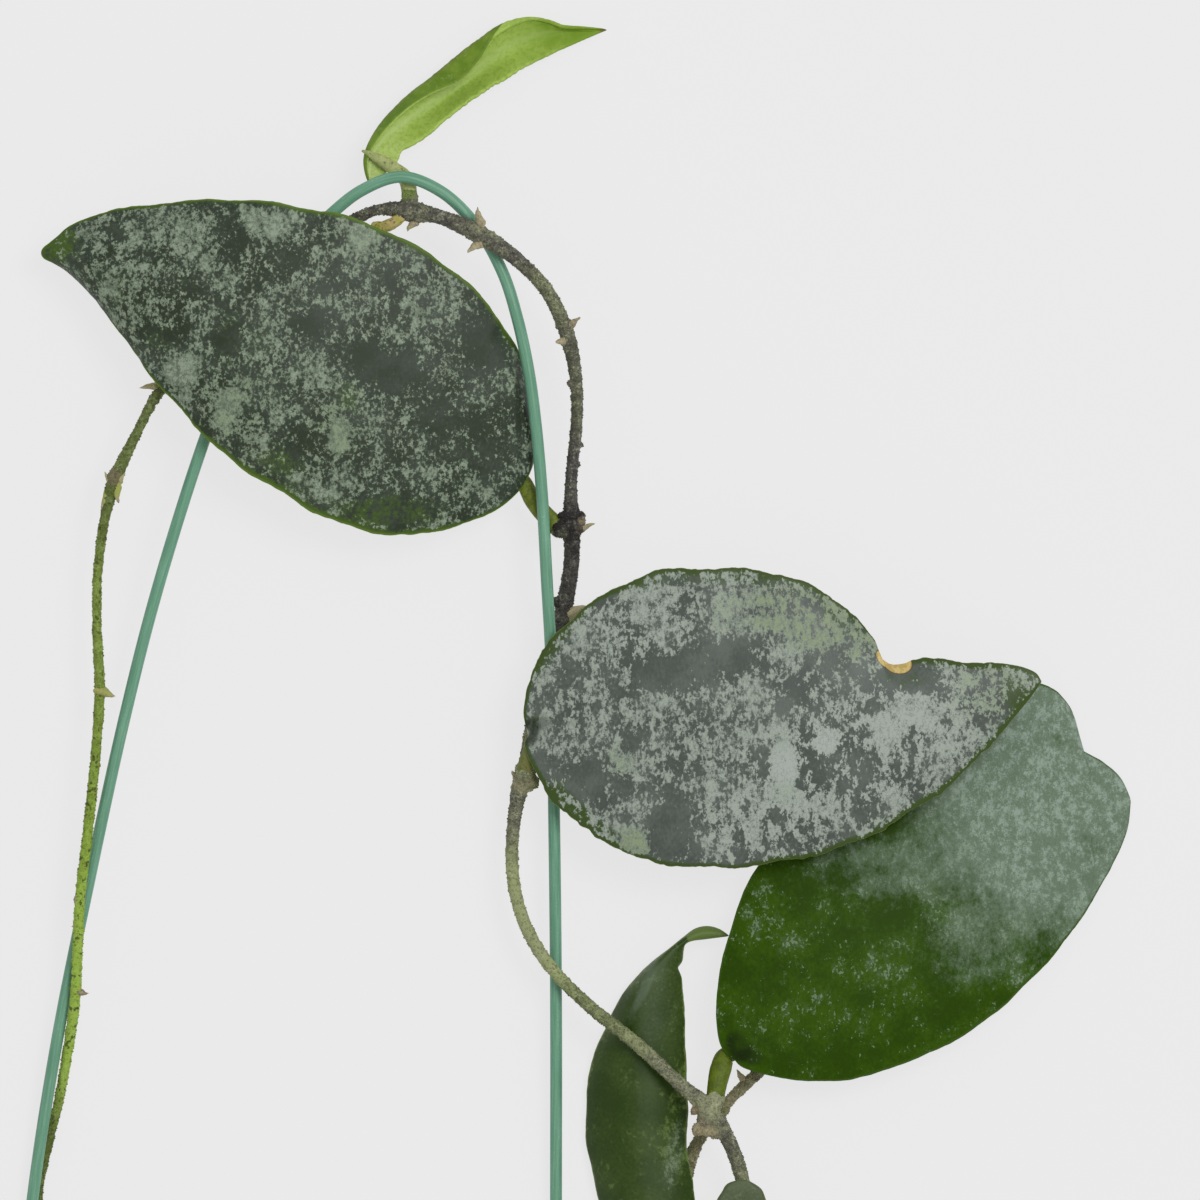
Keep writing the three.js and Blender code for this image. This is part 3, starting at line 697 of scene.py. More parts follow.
@dataclass(frozen=True)
class LeafFinish:
    """The skin of a leaf: a ground, silver mottling, a rim, pale flecks and a painted sheen.

    Attributes:
        ground: The ground's common colour.
        shade: Its darker colour.
        rim: The colour along the margin.
        edge_line: The colour of the margin itself.
        dull: Thin silver that lets the ground through.
        warm_silver: Greener silver.
        coverage: Moves the share of silver up or down.
        patchiness: How much the given patches count.
        cloudiness: The strength of clouds of about a centimetre.
        clumps: The strength of clumps of a few millimetres.
        salt: The strength of the smallest flecks.
        softness: How gradually the silver starts.
        strength: How opaque it is.
        dulling: How much of it stays dull.
        fleck: The size of its flecks in millimetres.
        lengthening: How much longer they are from top to bottom of the plan.
        crackle: The strength of dark lines between them.
        rim_width: How far the rim's colour reaches inwards.
        line_width: How far the edge line's colour reaches inwards.
        specks: The share of loose pale specks.
        roughness: How matt the skin is.
        gloss: The shader's specular level.
    """

    name: str
    ground: Colour
    shade: Colour
    rim: Colour
    edge_line: Colour
    dull: Colour
    silver: Colour
    warm_silver: Colour
    painted_sheen_silver: Colour
    underside: Colour
    coverage: float = 0.0
    patchiness: float = 0.5
    cloudiness: float = 0.5
    clumps: float = 1.3
    salt: float = 1.2
    softness: float = 0.08
    strength: float = 1.0
    dulling: float = 0.05
    fleck: float = 0.9
    lengthening: float = 1.0
    crackle: float = 0.5
    rim_width: float = 2.4
    line_width: float = 0.5
    specks: float = 0.0
    roughness: float = 0.45
    gloss: float = 0.25

    def material(self) -> Material:
        """Makes the material.

        Returns:
            The material.
        """
        paint = Paint(self.name)
        edge = paint.number("edge")
        drawn = paint.drawn(self.lengthening)
        clouds = paint.grain(11, 2, 0.5)
        blots = paint.grain(self.fleck * 3, 5, 0.62, drawn)
        flecks = paint.grain(self.fleck, 3, 0.62, drawn)
        grit = paint.grain(0.35, 2, 0.6)

        tone = (clouds + (flecks - 0.5) * 0.6).step(0.3, 0.7)
        skin = paint.blend(tone, self.shade, self.ground)
        green = edge.step(self.rim_width * 1.7, 0) * 1.1 + paint.number("green")
        green = green + (clouds - 0.5) * 1.6 + (blots - 0.5) * 2.2 + (flecks - 0.5) * 1.4
        skin = paint.blend(green.step(0.25, 0.95), skin, self.rim)

        field = (
            paint.number("patch") * self.patchiness + (clouds - 0.5) * self.cloudiness
            + (blots - 0.5) * self.clumps + (flecks - 0.5) * self.salt + (grit - 0.5) * 0.4
            + self.coverage
        )
        field = field - edge.step(self.rim_width * 1.2, 0) * 0.7
        haze = (field + 0.2).step(0, 0.4) * 0.3
        skin = paint.blend(haze * self.strength, skin, self.dull)
        tint = (paint.number("warm") + (blots - 0.5)).step(0, 1)
        full = paint.blend(tint, self.silver, self.warm_silver)
        # Painted sheen: where its patches lie, the silver turns to a brighter colour that stands for the
        # lamp's reflection, and more of it counts as bright
        full = paint.blend(paint.number("painted_sheen"), full, self.painted_sheen_silver)
        bright = (
            field * 0.6 + (grit - 0.5) * 0.8 + (flecks - 0.5) + (blots - 0.5) * 1.2
            + paint.number("painted_sheen") * 0.3 - self.dulling
        )
        share = field.step(0, self.softness) * self.strength
        skin = paint.blend(share, skin, paint.blend(bright.step(-0.15, 0.45), self.dull, full))
        crack = paint.grain(self.fleck * 1.6, 2, 0.55, drawn) - 0.5
        lines = (crack * crack).step(0.0009, 0) * self.crackle
        skin = paint.blend(lines * share, skin, self.shade)
        if self.specks > 0:
            dots = paint.grain(0.7, 2, 0.6, drawn) + (clouds - 0.5) * 0.5 + (blots - 0.5) * 0.7
            dots = dots.step(0.78 - self.specks, 0.86 - self.specks)
            skin = paint.blend(dots * 0.6, skin, self.warm_silver)
        skin = self._marks(paint, skin, edge + (grit - 0.5) * 0.5, blots + (flecks - 0.5) * 0.5)
        veins = paint.grain(2.2, 3, 0.55).step(0.35, 0.65)
        below = paint.blend(veins * 0.3, self.underside, self.rim)
        skin = paint.blend(paint.number("face"), below, skin)
        matt = self.roughness + (flecks - 0.5) * 0.2 + share * 0.05
        normal = paint.relief(flecks * 0.6 + grit * 0.4, 0.06)
        return paint.finish(
            skin, Roughness=matt, Normal=normal, Specular_IOR_Level=self.gloss)

    def _marks(self, paint: Paint, skin: Wire, edge: Wire, blots: Wire) -> Wire:
        """Lays the margin's line, scars and a painted shadow, pale streaks and painted glints, and
        corky tissue over the skin.

        Args:
            paint: The material's nodes.
            skin: The colour so far.
            edge: The distance from the margin, made ragged.
            blots: Noise that breaks the scars and the painted shadow up.

        Returns:
            The colour with the marks.
        """
        line = edge.step(self.line_width, self.line_width * 0.3)
        skin = paint.blend(line * 0.8, skin, self.edge_line)
        # Dark scars, and on the upper left leaf a painted shadow of the wire
        scar_and_shadow = (paint.number("scar_and_shadow") * 1.6 + (blots - 0.5) * 1.8 - 0.3).step(0, 1.3)
        skin = paint.blend(scar_and_shadow * 0.85, skin, seen(44, 50, 30))
        # Pale streaks, and on the middle and hanging leaves painted glints and a painted highlight along
        # the rib
        skin = paint.blend(paint.number("streak_and_glint"), skin, self.silver)
        callus = paint.number("callus")
        skin = paint.blend(callus.step(0.35, 0.5) * 0.7, skin, seen(92, 72, 44))
        mix = (paint.grain(0.8, 3) + (blots - 0.5)).step(0.3, 0.75)
        cork = paint.blend(mix, seen(176, 152, 92), seen(206, 186, 124))
        return paint.blend(callus.step(0.5, 0.65), skin, cork)


@dataclass(frozen=True)
class YoungLeafFinish:
    """The soft skin of the young leaf: pale underside, dark upper side, brown tip."""

    name: str = "young_leaf_skin"
    pale: Colour = seen(182, 200, 122)
    fresh: Colour = seen(162, 188, 92)
    tip: Colour = seen(122, 152, 54)
    dark: Colour = seen(112, 138, 52)
    deep: Colour = seen(92, 120, 40)
    brown: Colour = seen(112, 96, 48)

    def material(self) -> Material:
        """Makes the material.

        Returns:
            The material.
        """
        paint = Paint(self.name)
        along = paint.number("along")
        clouds = paint.grain(6, 3, 0.6)
        net = paint.grain(0.9, 3, 0.65)
        light = paint.blend((clouds + along * 1.3).step(0.35, 0.95), self.pale, self.fresh)
        light = paint.blend((along + (clouds - 0.5) * 0.4).step(0.6, 0.95), light, self.tip)
        light = paint.blend(net.step(0.56, 0.36) * 0.4, light, self.tip)
        light = paint.blend(paint.number("rib") * 0.55, light, seen(190, 206, 142))
        shade = paint.blend(clouds.step(0.35, 0.65), self.deep, self.dark)
        shade = paint.blend(net.step(0.56, 0.7) * 0.35, shade, seen(150, 170, 106))
        skin = paint.blend(paint.number("face"), shade, light)
        skin = paint.blend(paint.number("crease") * 0.9, skin, seen(116, 88, 58))
        skin = paint.blend(along.step(0.965, 1.0), skin, self.brown)
        normal = paint.relief(net * 0.6 + paint.grain(0.3, 1) * 0.4, 0.06)
        matt = 0.5 + (net - 0.5) * 0.15
        return paint.finish(skin, Roughness=matt, Normal=normal, Specular_IOR_Level=0.3)


@dataclass(frozen=True)
class BarkFinish:
    """Stem skin: dark and grey bark, olive and lime skin, dark flecks, pale lichen, tan scars."""

    name: str = "stem_skin"
    dark: Colour = seen(54, 52, 52)
    grey: Colour = seen(90, 88, 84)
    olive: Colour = seen(150, 153, 120)
    lime: Colour = seen(152, 180, 82)
    shade_lime: Colour = seen(102, 118, 48)
    fleck: Colour = seen(62, 58, 44)
    lichen: Colour = seen(188, 188, 170)
    tan: Colour = seen(166, 150, 116)

    def material(self) -> Material:
        """Makes the material.

        Returns:
            The material.
        """
        paint = Paint(self.name)
        young = paint.number("lime")
        tan = paint.number("tan")
        clouds = paint.grain(2.6, 3, 0.6)
        fine = paint.grain(0.6, 3, 0.65)
        grit = paint.grain(0.25, 2, 0.6)
        mottle = (clouds - 0.5) * 1.2 + (fine - 0.5) * 1.3 + (grit - 0.5) * 1.3
        light = paint.number("light") + mottle
        skin = paint.blend(light.step(-0.3, 0.6), self.dark, self.grey)
        skin = paint.blend(light.step(0.4, 1.3), skin, self.olive)
        tone = (light - 0.7) * 0.6 + 0.5
        skin = paint.blend(young, skin, paint.blend(tone.step(0, 1), self.shade_lime, self.lime))
        skin = paint.blend(tan * (0.75 + mottle * 0.6), skin, self.tan)
        spots = (paint.cells(0.8) + (fine - 0.5) * 0.6).step(0.86, 0.98)
        skin = paint.blend(spots * (young * 0.6 + tan * 0.5 + 0.2), skin, self.fleck)
        pale = paint.grain(0.7, 3, 0.7) + (clouds - 0.5) * 0.5 - young * 0.1
        bare = paint.number("light").step(0, 0.5) * 0.25 + 0.16
        skin = paint.blend(pale.step(0.56, 0.68) * bare, skin, self.lichen)
        skin = paint.blend(paint.number("wart") * 0.2, skin, self.fleck)
        normal = paint.relief(clouds * 0.3 + fine * 0.5 + grit * 0.2, 0.4)
        matt = 0.72 + (fine - 0.5) * 0.3
        return paint.finish(skin, Roughness=matt, Normal=normal, Specular_IOR_Level=0.22)


@dataclass(frozen=True)
class PegFinish:
    """The dry skin of pegs and bracts, from brown to pale tan, some of it still green."""

    name: str = "peg_skin"
    brown: Colour = seen(104, 96, 80)
    tan: Colour = seen(178, 168, 138)
    fresh: Colour = seen(164, 168, 92)
    lime: Colour = seen(158, 164, 92)
    spot: Colour = seen(92, 78, 58)

    def material(self) -> Material:
        """Makes the material.

        Returns:
            The material.
        """
        paint = Paint(self.name)
        fine = paint.grain(0.7, 3, 0.65)
        grit = paint.grain(0.3, 2, 0.6)
        tone = paint.number("tone") + (fine - 0.5) * 1.6 + (grit - 0.5) * 1.2
        skin = paint.blend(tone.step(-0.1, 1), self.brown, self.tan)
        height = paint.number("height")
        ripe = paint.number("fresh") * height.step(0.6, 0.95)
        skin = paint.blend(ripe, skin, self.fresh)
        skin = paint.blend(paint.number("young") * (height + fine * 0.4).step(1.1, 0.8), skin, self.lime)
        skin = paint.blend(grit.step(0.56, 0.7) * 0.6, skin, self.spot)
        normal = paint.relief(fine * 0.7 + grit * 0.3, 0.2)
        matt = 0.7 + (fine - 0.5) * 0.3
        return paint.finish(skin, Roughness=matt, Normal=normal, Specular_IOR_Level=0.2)


@dataclass(frozen=True)
class SkinFinish:
    """A plain plant skin of two cloudy colours and small spots, for stalks, bracts and hairs."""

    name: str
    main: Colour
    second: Colour
    spot: Colour
    spots: float = 0.1
    roughness: float = 0.6

    def material(self) -> Material:
        """Makes the material.

        Returns:
            The material.
        """
        paint = Paint(self.name)
        clouds = paint.grain(2.4, 3, 0.55)
        fine = paint.grain(0.45, 3, 0.65)
        skin = paint.blend((clouds + (fine - 0.5) * 0.6).step(0.35, 0.65), self.main, self.second)
        dots = (paint.cells(0.6) + (fine - 0.5) * 0.4).step(1.02 - self.spots, 1.12 - self.spots)
        skin = paint.blend(dots * 0.7, skin, self.spot)
        normal = paint.relief(fine, 0.08)
        matt = self.roughness + (fine - 0.5) * 0.2
        return paint.finish(skin, Roughness=matt, Normal=normal, Specular_IOR_Level=0.25)


@dataclass(frozen=True)
class CoatingFinish:
    """Green plastic coating with fine drawn streaks along the wire."""

    name: str = "green_coating"
    main: Colour = seen(114, 160, 134)
    deep: Colour = seen(94, 141, 116)
    worn: Colour = seen(152, 186, 162)

    def material(self) -> Material:
        """Makes the material.

        Returns:
            The material.
        """
        paint = Paint(self.name)
        run = paint.number("run")
        around = paint.number("around")
        line = paint.add("ShaderNodeCombineXYZ", None, {0: run * 0.08, 1: around * 9, 2: 0.0})
        streaks = paint.grain(1, 3, 0.6, place=line)
        dust = paint.grain(0.5, 3, 0.65)
        colour = paint.blend(streaks.step(0.3, 0.7), self.deep, self.main)
        colour = paint.blend((dust + (streaks - 0.5) * 0.5).step(0.6, 0.78) * 0.5, colour, self.worn)
        normal = paint.relief(streaks * 0.7 + dust * 0.3, 0.05)
        matt = 0.42 + (dust - 0.5) * 0.25
        return paint.finish(colour, Roughness=matt, Normal=normal, Specular_IOR_Level=0.45)


@dataclass(frozen=True)
class SteelFinish:
    """The cut wire inside the coating."""

    name: str = "cut_steel"
    main: Colour = (0.42, 0.43, 0.44, 1.0)
    rust: Colour = (0.20, 0.12, 0.07, 1.0)

    def material(self) -> Material:
        """Makes the material.

        Returns:
            The material.
        """
        paint = Paint(self.name)
        spots = paint.grain(0.6, 3, 0.6)
        colour = paint.blend(spots.step(0.5, 0.7) * 0.5, self.main, self.rust)
        matt = 0.3 + (spots - 0.5) * 0.4
        normal = paint.relief(paint.grain(0.15, 1), 0.02)
        return paint.finish(colour, Roughness=matt, Normal=normal, Metallic=1.0)


@dataclass
class Hoop:
    """The bent wire: a steel core in a green plastic coating."""

    plan: Plan
    sides: int = 20
    step: float = 1.0

    def build(self) -> None:
        """Makes the coating and the core."""
        coating = self._swept("hoop_coating_skin", WIRE_RADIUS, False, CoatingFinish().material())
        wall = coating.modifiers.new("wall", "SOLIDIFY")
        wall.thickness = (WIRE_RADIUS - WIRE_BORE) * MM
        wall.offset = -1
        settle(plain_copy(coating, "hoop_coating_sleeve"), Slot.COATING, "hoop_coating")
        core = self._swept("hoop_core_wire", CORE_RADIUS, True, SteelFinish().material())
        settle(core, Slot.WIRE, "hoop_core")

    def line(self) -> Array:
        """The wire's centre line, flat at the leg ends and rising at an even slope above them.

        Returns:
            Its points.
        """
        spline = Spline([(x, y, 0) for x, y in HOOP])
        points = spline.even(np.linspace(0, 1, int(spline.length / self.step) + 1))
        points[:, 2] = WIRE_HEIGHT + HOOP_SLOPE * np.maximum(0, points[:, 1] - LEG_FLAT_END)
        return points

    def _swept(self, name: str, radius: float, capped: bool, material: Material) -> Piece:
        """Sweeps a circle along the wire's line with Geometry Nodes.

        Args:
            name: The piece's name.
            radius: The circle's radius.
            capped: Whether the ends are closed.
            material: The piece's material.

        Returns:
            The piece.
        """
        points = self.plan.metres(self.line())
        curve = bpy.data.curves.new(name, "CURVE")
        curve.dimensions = "3D"
        spline = curve.splines.new("POLY")
        spline.points.add(len(points) - 1)
        spline.points.foreach_set("co", np.hstack([points, np.ones((len(points), 1))]).ravel())
        start = linked(name + "_line", curve)

        tree = Grower(name)
        run = tree.add("GeometryNodeSplineParameter", output="Length")
        path = tree.marked(tree.given, "run", run / MM)
        ring = tree.add(
            "GeometryNodeCurvePrimitiveCircle", None,
            {"Resolution": tree.size("Sides", self.sides), "Radius": tree.size("Radius", radius * MM)})
        turn = tree.add("GeometryNodeSplineParameter", output="Factor")
        half = (turn - 0.5) * 2
        ring = tree.marked(ring, "around", half * half)
        tube = tree.add(
            "GeometryNodeCurveToMesh", None,
            {"Curve": path, "Profile Curve": ring, "Fill Caps": capped})
        return tree.run(start, tree.shaded(tube), material, name)


def swept_tube(
    route: Points, sides: int, step: float, bump: float = 0.0, groove: float = 0.0,
    seed: float = 0.0,
) -> Shape:
    """A closed round tube along a route, with domed ends.

    Args:
        route: Points of (x, y, z, radius).
        sides: Faces round it.
        step: The spacing of its rings.
        bump: How uneven its skin is.
        groove: The depth of a shallow channel along its top, as a share of the radius.
        seed: Moves the skin's noise.

    Returns:
        Vertices in plan millimetres, and faces.
    """
    line = Spline([point[:3] for point in route])
    radii = Spline([(i, point[3]) for i, point in enumerate(route)])
    share = np.linspace(0, 1, max(4, int(line.length / step)) + 1)
    centres = line.even(share)
    along = line.heading(share)
    radius = radii.at(line.place_of(share))[:, 1]
    across = unit(np.cross(along, [0, 0, 1]))
    up = np.cross(across, along)
    angle = 2 * np.pi * np.arange(sides) / sides
    shape = 1 - groove * np.exp(-((np.angle(np.exp(1j * angle)) / GROOVE_ANGLE) ** 2))
    spokes = (
        across[:, None] * np.sin(angle)[None, :, None] + up[:, None] * np.cos(angle)[None, :, None]
    )
    rings = centres[:, None] + spokes * (radius[:, None] * shape)[..., None]
    if bump:
        rings += spokes * (bump * rough(rings, SKIN_BUMP, seed))[..., None]

    def dome(end: int, way: int) -> list[Array]:
        """The rings of a domed end, from its pole inwards."""
        return [
            centres[end] + spokes[end] * radius[end] * d
            + way * along[end] * radius[end] * (1 - d**2) ** 0.5 * DOME_HEIGHT
            for d in DOME_RADII
        ]

    grid = np.concatenate([dome(0, -1), rings, dome(-1, 1)[::-1]])
    foot = centres[0] - along[0] * radius[0] * POLE_HEIGHT
    head = centres[-1] + along[-1] * radius[-1] * POLE_HEIGHT
    points = np.vstack([grid.reshape(-1, 3), foot, head])

    side = np.arange(sides)
    following = (side + 1) % sides
    ring = np.arange(len(grid) - 1)[:, None] * sides
    a, b = ring + side, ring + following
    faces = np.stack([a, b, b + sides, a + sides], axis=-1).reshape(-1, 4).tolist()
    top = (len(grid) - 1) * sides
    for here, after in zip(side.tolist(), following.tolist()):
        faces.append([len(points) - 2, after, here])
        faces.append([len(points) - 1, top + here, top + after])
    return points, faces


def joined(parts: Sequence[Shape]) -> Shape:
    """Joins meshes of vertices and faces into one.

    Args:
        parts: The meshes.

    Returns:
        The vertices and faces of all.
    """
    faces: Faces = []
    offset = 0
    for points, some_faces in parts:
        faces.extend([[i + offset for i in face] for face in some_faces])
        offset += len(points)
    return np.vstack([points for points, _ in parts]), faces


def from_joint(stalk: Points) -> list[Sequence[float]]:
    """A leaf stalk's route that starts a little inside its joint, and a little thinner.

    Args:
        stalk: The stalk's route, from the joint.

    Returns:
        The route.
    """
    joint, following = np.array(stalk[0][:3]), np.array(stalk[1][:3])
    start = joint - unit(following - joint) * JOINT_OVERLAP
    return [(*start, stalk[0][3] * 0.96), *stalk[1:]]


@dataclass(frozen=True)
class Peg:
    """A root peg, bract or spur on a stem.

    Attributes:
        foot: Where it leaves the stem's middle.
        point: Its tip.
        width: Its radius at the foot.
        tone: Its colour, from brown at 0 to pale tan at 1.
        fresh: How green its point is.
        young: How green it is below its point.
    """

    foot: Point
    point: Point
    width: float
    tone: float = 0.5
    fresh: float = 0.0
    young: float = 0.0


PEGS = [
    Peg((-29.4, 92.4, 22.2), (-30.5, 98, 24.2), 1.5, 0.6),
    Peg((-28.6, 90.2, 22.2), (-33, 86.8, 23.4), 1.9, 0.8),
    Peg((-45.4, 95.4, 17.8), (-48.2, 92.1, 19), 1.4, 0.7, 0.5),
    Peg((-8.2, 68, 17.8), (-4.9, 70.6, 19.4), 1.4, 0.5),
    Peg((-8.4, 65, 17.8), (-11.1, 64.2, 19.2), 1.6, 0.9),
    Peg((-6, 17.2, 11), (-1.2, 19.2, 12.6), 1.2, 0.6, 1.0),
    Peg((-8.6, -4, 7.4), (-2.8, -1.6, 8.8), 2.3, 0.8),
    Peg((-109.6, 53.8, 12.6), (-115.1, 53, 13.8), 1.4, 1.3, young=0.3),
    Peg((-122, 29.2, 12.4), (-124.6, 22.6, 13.2), 1.2, 0.6, young=0.9),
    Peg((-121, 30, 12.4), (-120.3, 24.2, 14), 1.3, 0.6, young=1.0),
    Peg((-121.6, 28.6, 12.4), (-123.8, 32.1, 13.2), 1.1, 0.9, young=0.4),
    Peg((-120.9, 28.8, 12.4), (-118.6, 31.6, 13.4), 1.1, 0.9, young=0.4),
    Peg((-124.8, -22.7, 11.6), (-121.2, -24.1, 12.8), 1.6, 0.7, young=0.8),
    Peg((-130.8, -98, 10), (-127.8, -98.4, 11.4), 1.2, 0.5),
    Peg((-130.4, -81.8, 11.8), (-132.2, -81.6, 12.8), 0.6, 0.6),
    Peg((36.4, -120.8, 1.9), (34.3, -117.5, 3.4), 1.1, 1.0),
    Peg((-20, -45.4, 11), (-22.1, -42.6, 12.4), 1, 0.7),
    Peg((-138.8, -196.4, 1.5), (-138.5, -203, 1.7), 0.8, 0.4),
    Peg((-138.9, -193, 1.5), (-136.2, -198, 2), 0.7, 0.4),
    Peg((-138.9, -189, 1.5), (-141, -194, 1.8), 0.6, 0.4),
    Peg((59.8, -101.9, 1.6), (64.4, -99.2, 1.7), 0.8, 0.5),
]


@dataclass(frozen=True)
class Knob:
    """A rounded knob or bump on a stem, and how light, tan and lime its skin is."""

    middle: Point
    radius: float
    light: float
    tan: float = 0.0
    lime: float = 0.0


KNOBS = [
    Knob((-7.2, 19, 11), 2.3, -0.3), Knob((-9.5, 21.2, 12), 1.0, -0.2),
    Knob((-4.9, 21.3, 11.8), 1.1, -0.2), Knob((-4.5, 19.8, 12), 0.9, 0.6, 0.4),
    Knob((-5, 18, 11.4), 1.3, 0.0, 0.1), Knob((-9.2, 17.9, 10.4), 1.9, 0.7, 0, 0.15),
    Knob((-10.9, -0.4, 8.6), 1.3, 0.1), Knob((-47.8, 101, 16.6), 1.7, 0.6, 0, 0.6),
    Knob((-18.8, -44.8, 11), 2.9, 0.95, 0.3), Knob((-17, -45.5, 10.8), 1.8, 0.9, 0.3, 0.2),
    Knob((-18.4, -41.8, 12.6), 2.1, 0.9, 0.1, 0.6), Knob((27.4, -127.5, 14.6), 2.9, 1.1),
    Knob((23.5, -127.7, 15), 1.0, 0.2, 0.7), Knob((23.5, -125.7, 15.2), 0.7, 2.2),
    Knob((31.3, -127.6, 14.6), 1.1, 0.4, 0.2, 0.3), Knob((25.4, -129.8, 14.8), 1.2, 0.7, 0.25),
    Knob((24.6, -132.3, 14.4), 1.6, 0.9, 0.7), Knob((27.2, -132.6, 14.2), 1.5, 0.9, 0.6),
    Knob((26.2, -131, 14.4), 1.3, 0.7, 0.2), Knob((28.8, -133.2, 14), 1.5, 0.9, 0.3),
    Knob((-7.5, 54, 16.2), 0.8, 0.7, 0.2), Knob((-4.8, 38.8, 13.4), 0.7, 0.4),
    Knob((-121.5, 30.6, 12.5), 1.8, 0.35, 0.4, 0.2), Knob((-5.6, 33.8, 12.8), 0.7, 0.3),
    Knob((-131.2, -74.8, 12.4), 0.6, 1.0, 0.4),
]

# Where a leaf stalk leaves the stem: the middle of the node, and the stalk
STUBS = [
    ((-7.2, 18.8, 10.8), UPPER_LEFT_STALK),
    ((-19.2, -44.4, 10.8), MIDDLE_STALK),
    ((27.5, -127.5, 14.6), RIGHT_STALK),
    ((36.2, -188, 3.3), HANGING_STALK),
    ((36.2, -188, 3.3), SMALL_STALK),
    ((-47.3, 97.4, 17.6), YOUNG_STALK),
]

# How light and how lime the main stem's skin is, by the number of its route point
STEM_TONES = [
    (0, 0.85, 0), (5, 0.85, 0.1), (5.5, 0.65, 0.05), (6.5, 0.6, 0.05), (7, 1.05, 0), (7.5, 0.85, 0),
    (8.5, 0.8, 0.05), (9, 1.0, 0.15), (9.5, 0.7, 0.25), (10.5, 0.8, 0.25), (11, 1.4, 0.2),
    (11.5, 2.0, 0.1), (12, 2.1, 0.1), (12.5, 1.7, 0.15), (13, 2.0, 0.15), (13.5, 1.3, 0.15),
    (14, 0.95, 0.1), (14.5, 0.7, 0.05), (15, 0.75, 0), (15.5, 0.55, 0.05), (16, 0.8, 0.1), (17, 0.9, 0),
    (19, 0.35, 0), (21, 0.2, 0), (22, -0.35, 0), (22.5, 0.3, 0), (23.5, 0.35, 0), (24, 0.5, 0.1),
    (24.5, 0.55, 0.1), (25, 0.4, 0.1), (26, 0.6, 0.05), (26.5, 0.7, 0.1), (27.5, 0.75, 0.1), (28, 0.5, 0),
    (29, 0.8, 0), (29.5, 0.65, 0), (30, 0.4, 0), (30.5, 0.75, 0), (31, 0.55, 0), (32, 0.55, 0),
    (35, 0.4, 0), (37, 0.6, 0.4), (38.5, 0.5, 0.5), (39.5, 0.3, 0.55), (40.5, 0.45, 0.65),
    (41, 0.65, 0.75), (43, 0.7, 0.8), (45, 0.75, 1), (46, 1.2, 1), (48, 1.4, 1), (50, 1.3, 1),
    (51, 0.85, 0.85), (51.5, 0.5, 0.7), (52, 0.2, 0.6), (56, 0.5, 0.5),
]

# How light, lime and tan the side shoot's skin is
SHOOT_TONE = (0.75, 0.1, 0.4)

# Route points of the main stem where a ringed node sits
STEM_NODES = (2, 7, 16, 22, 26, 29, 31, 37, 39)


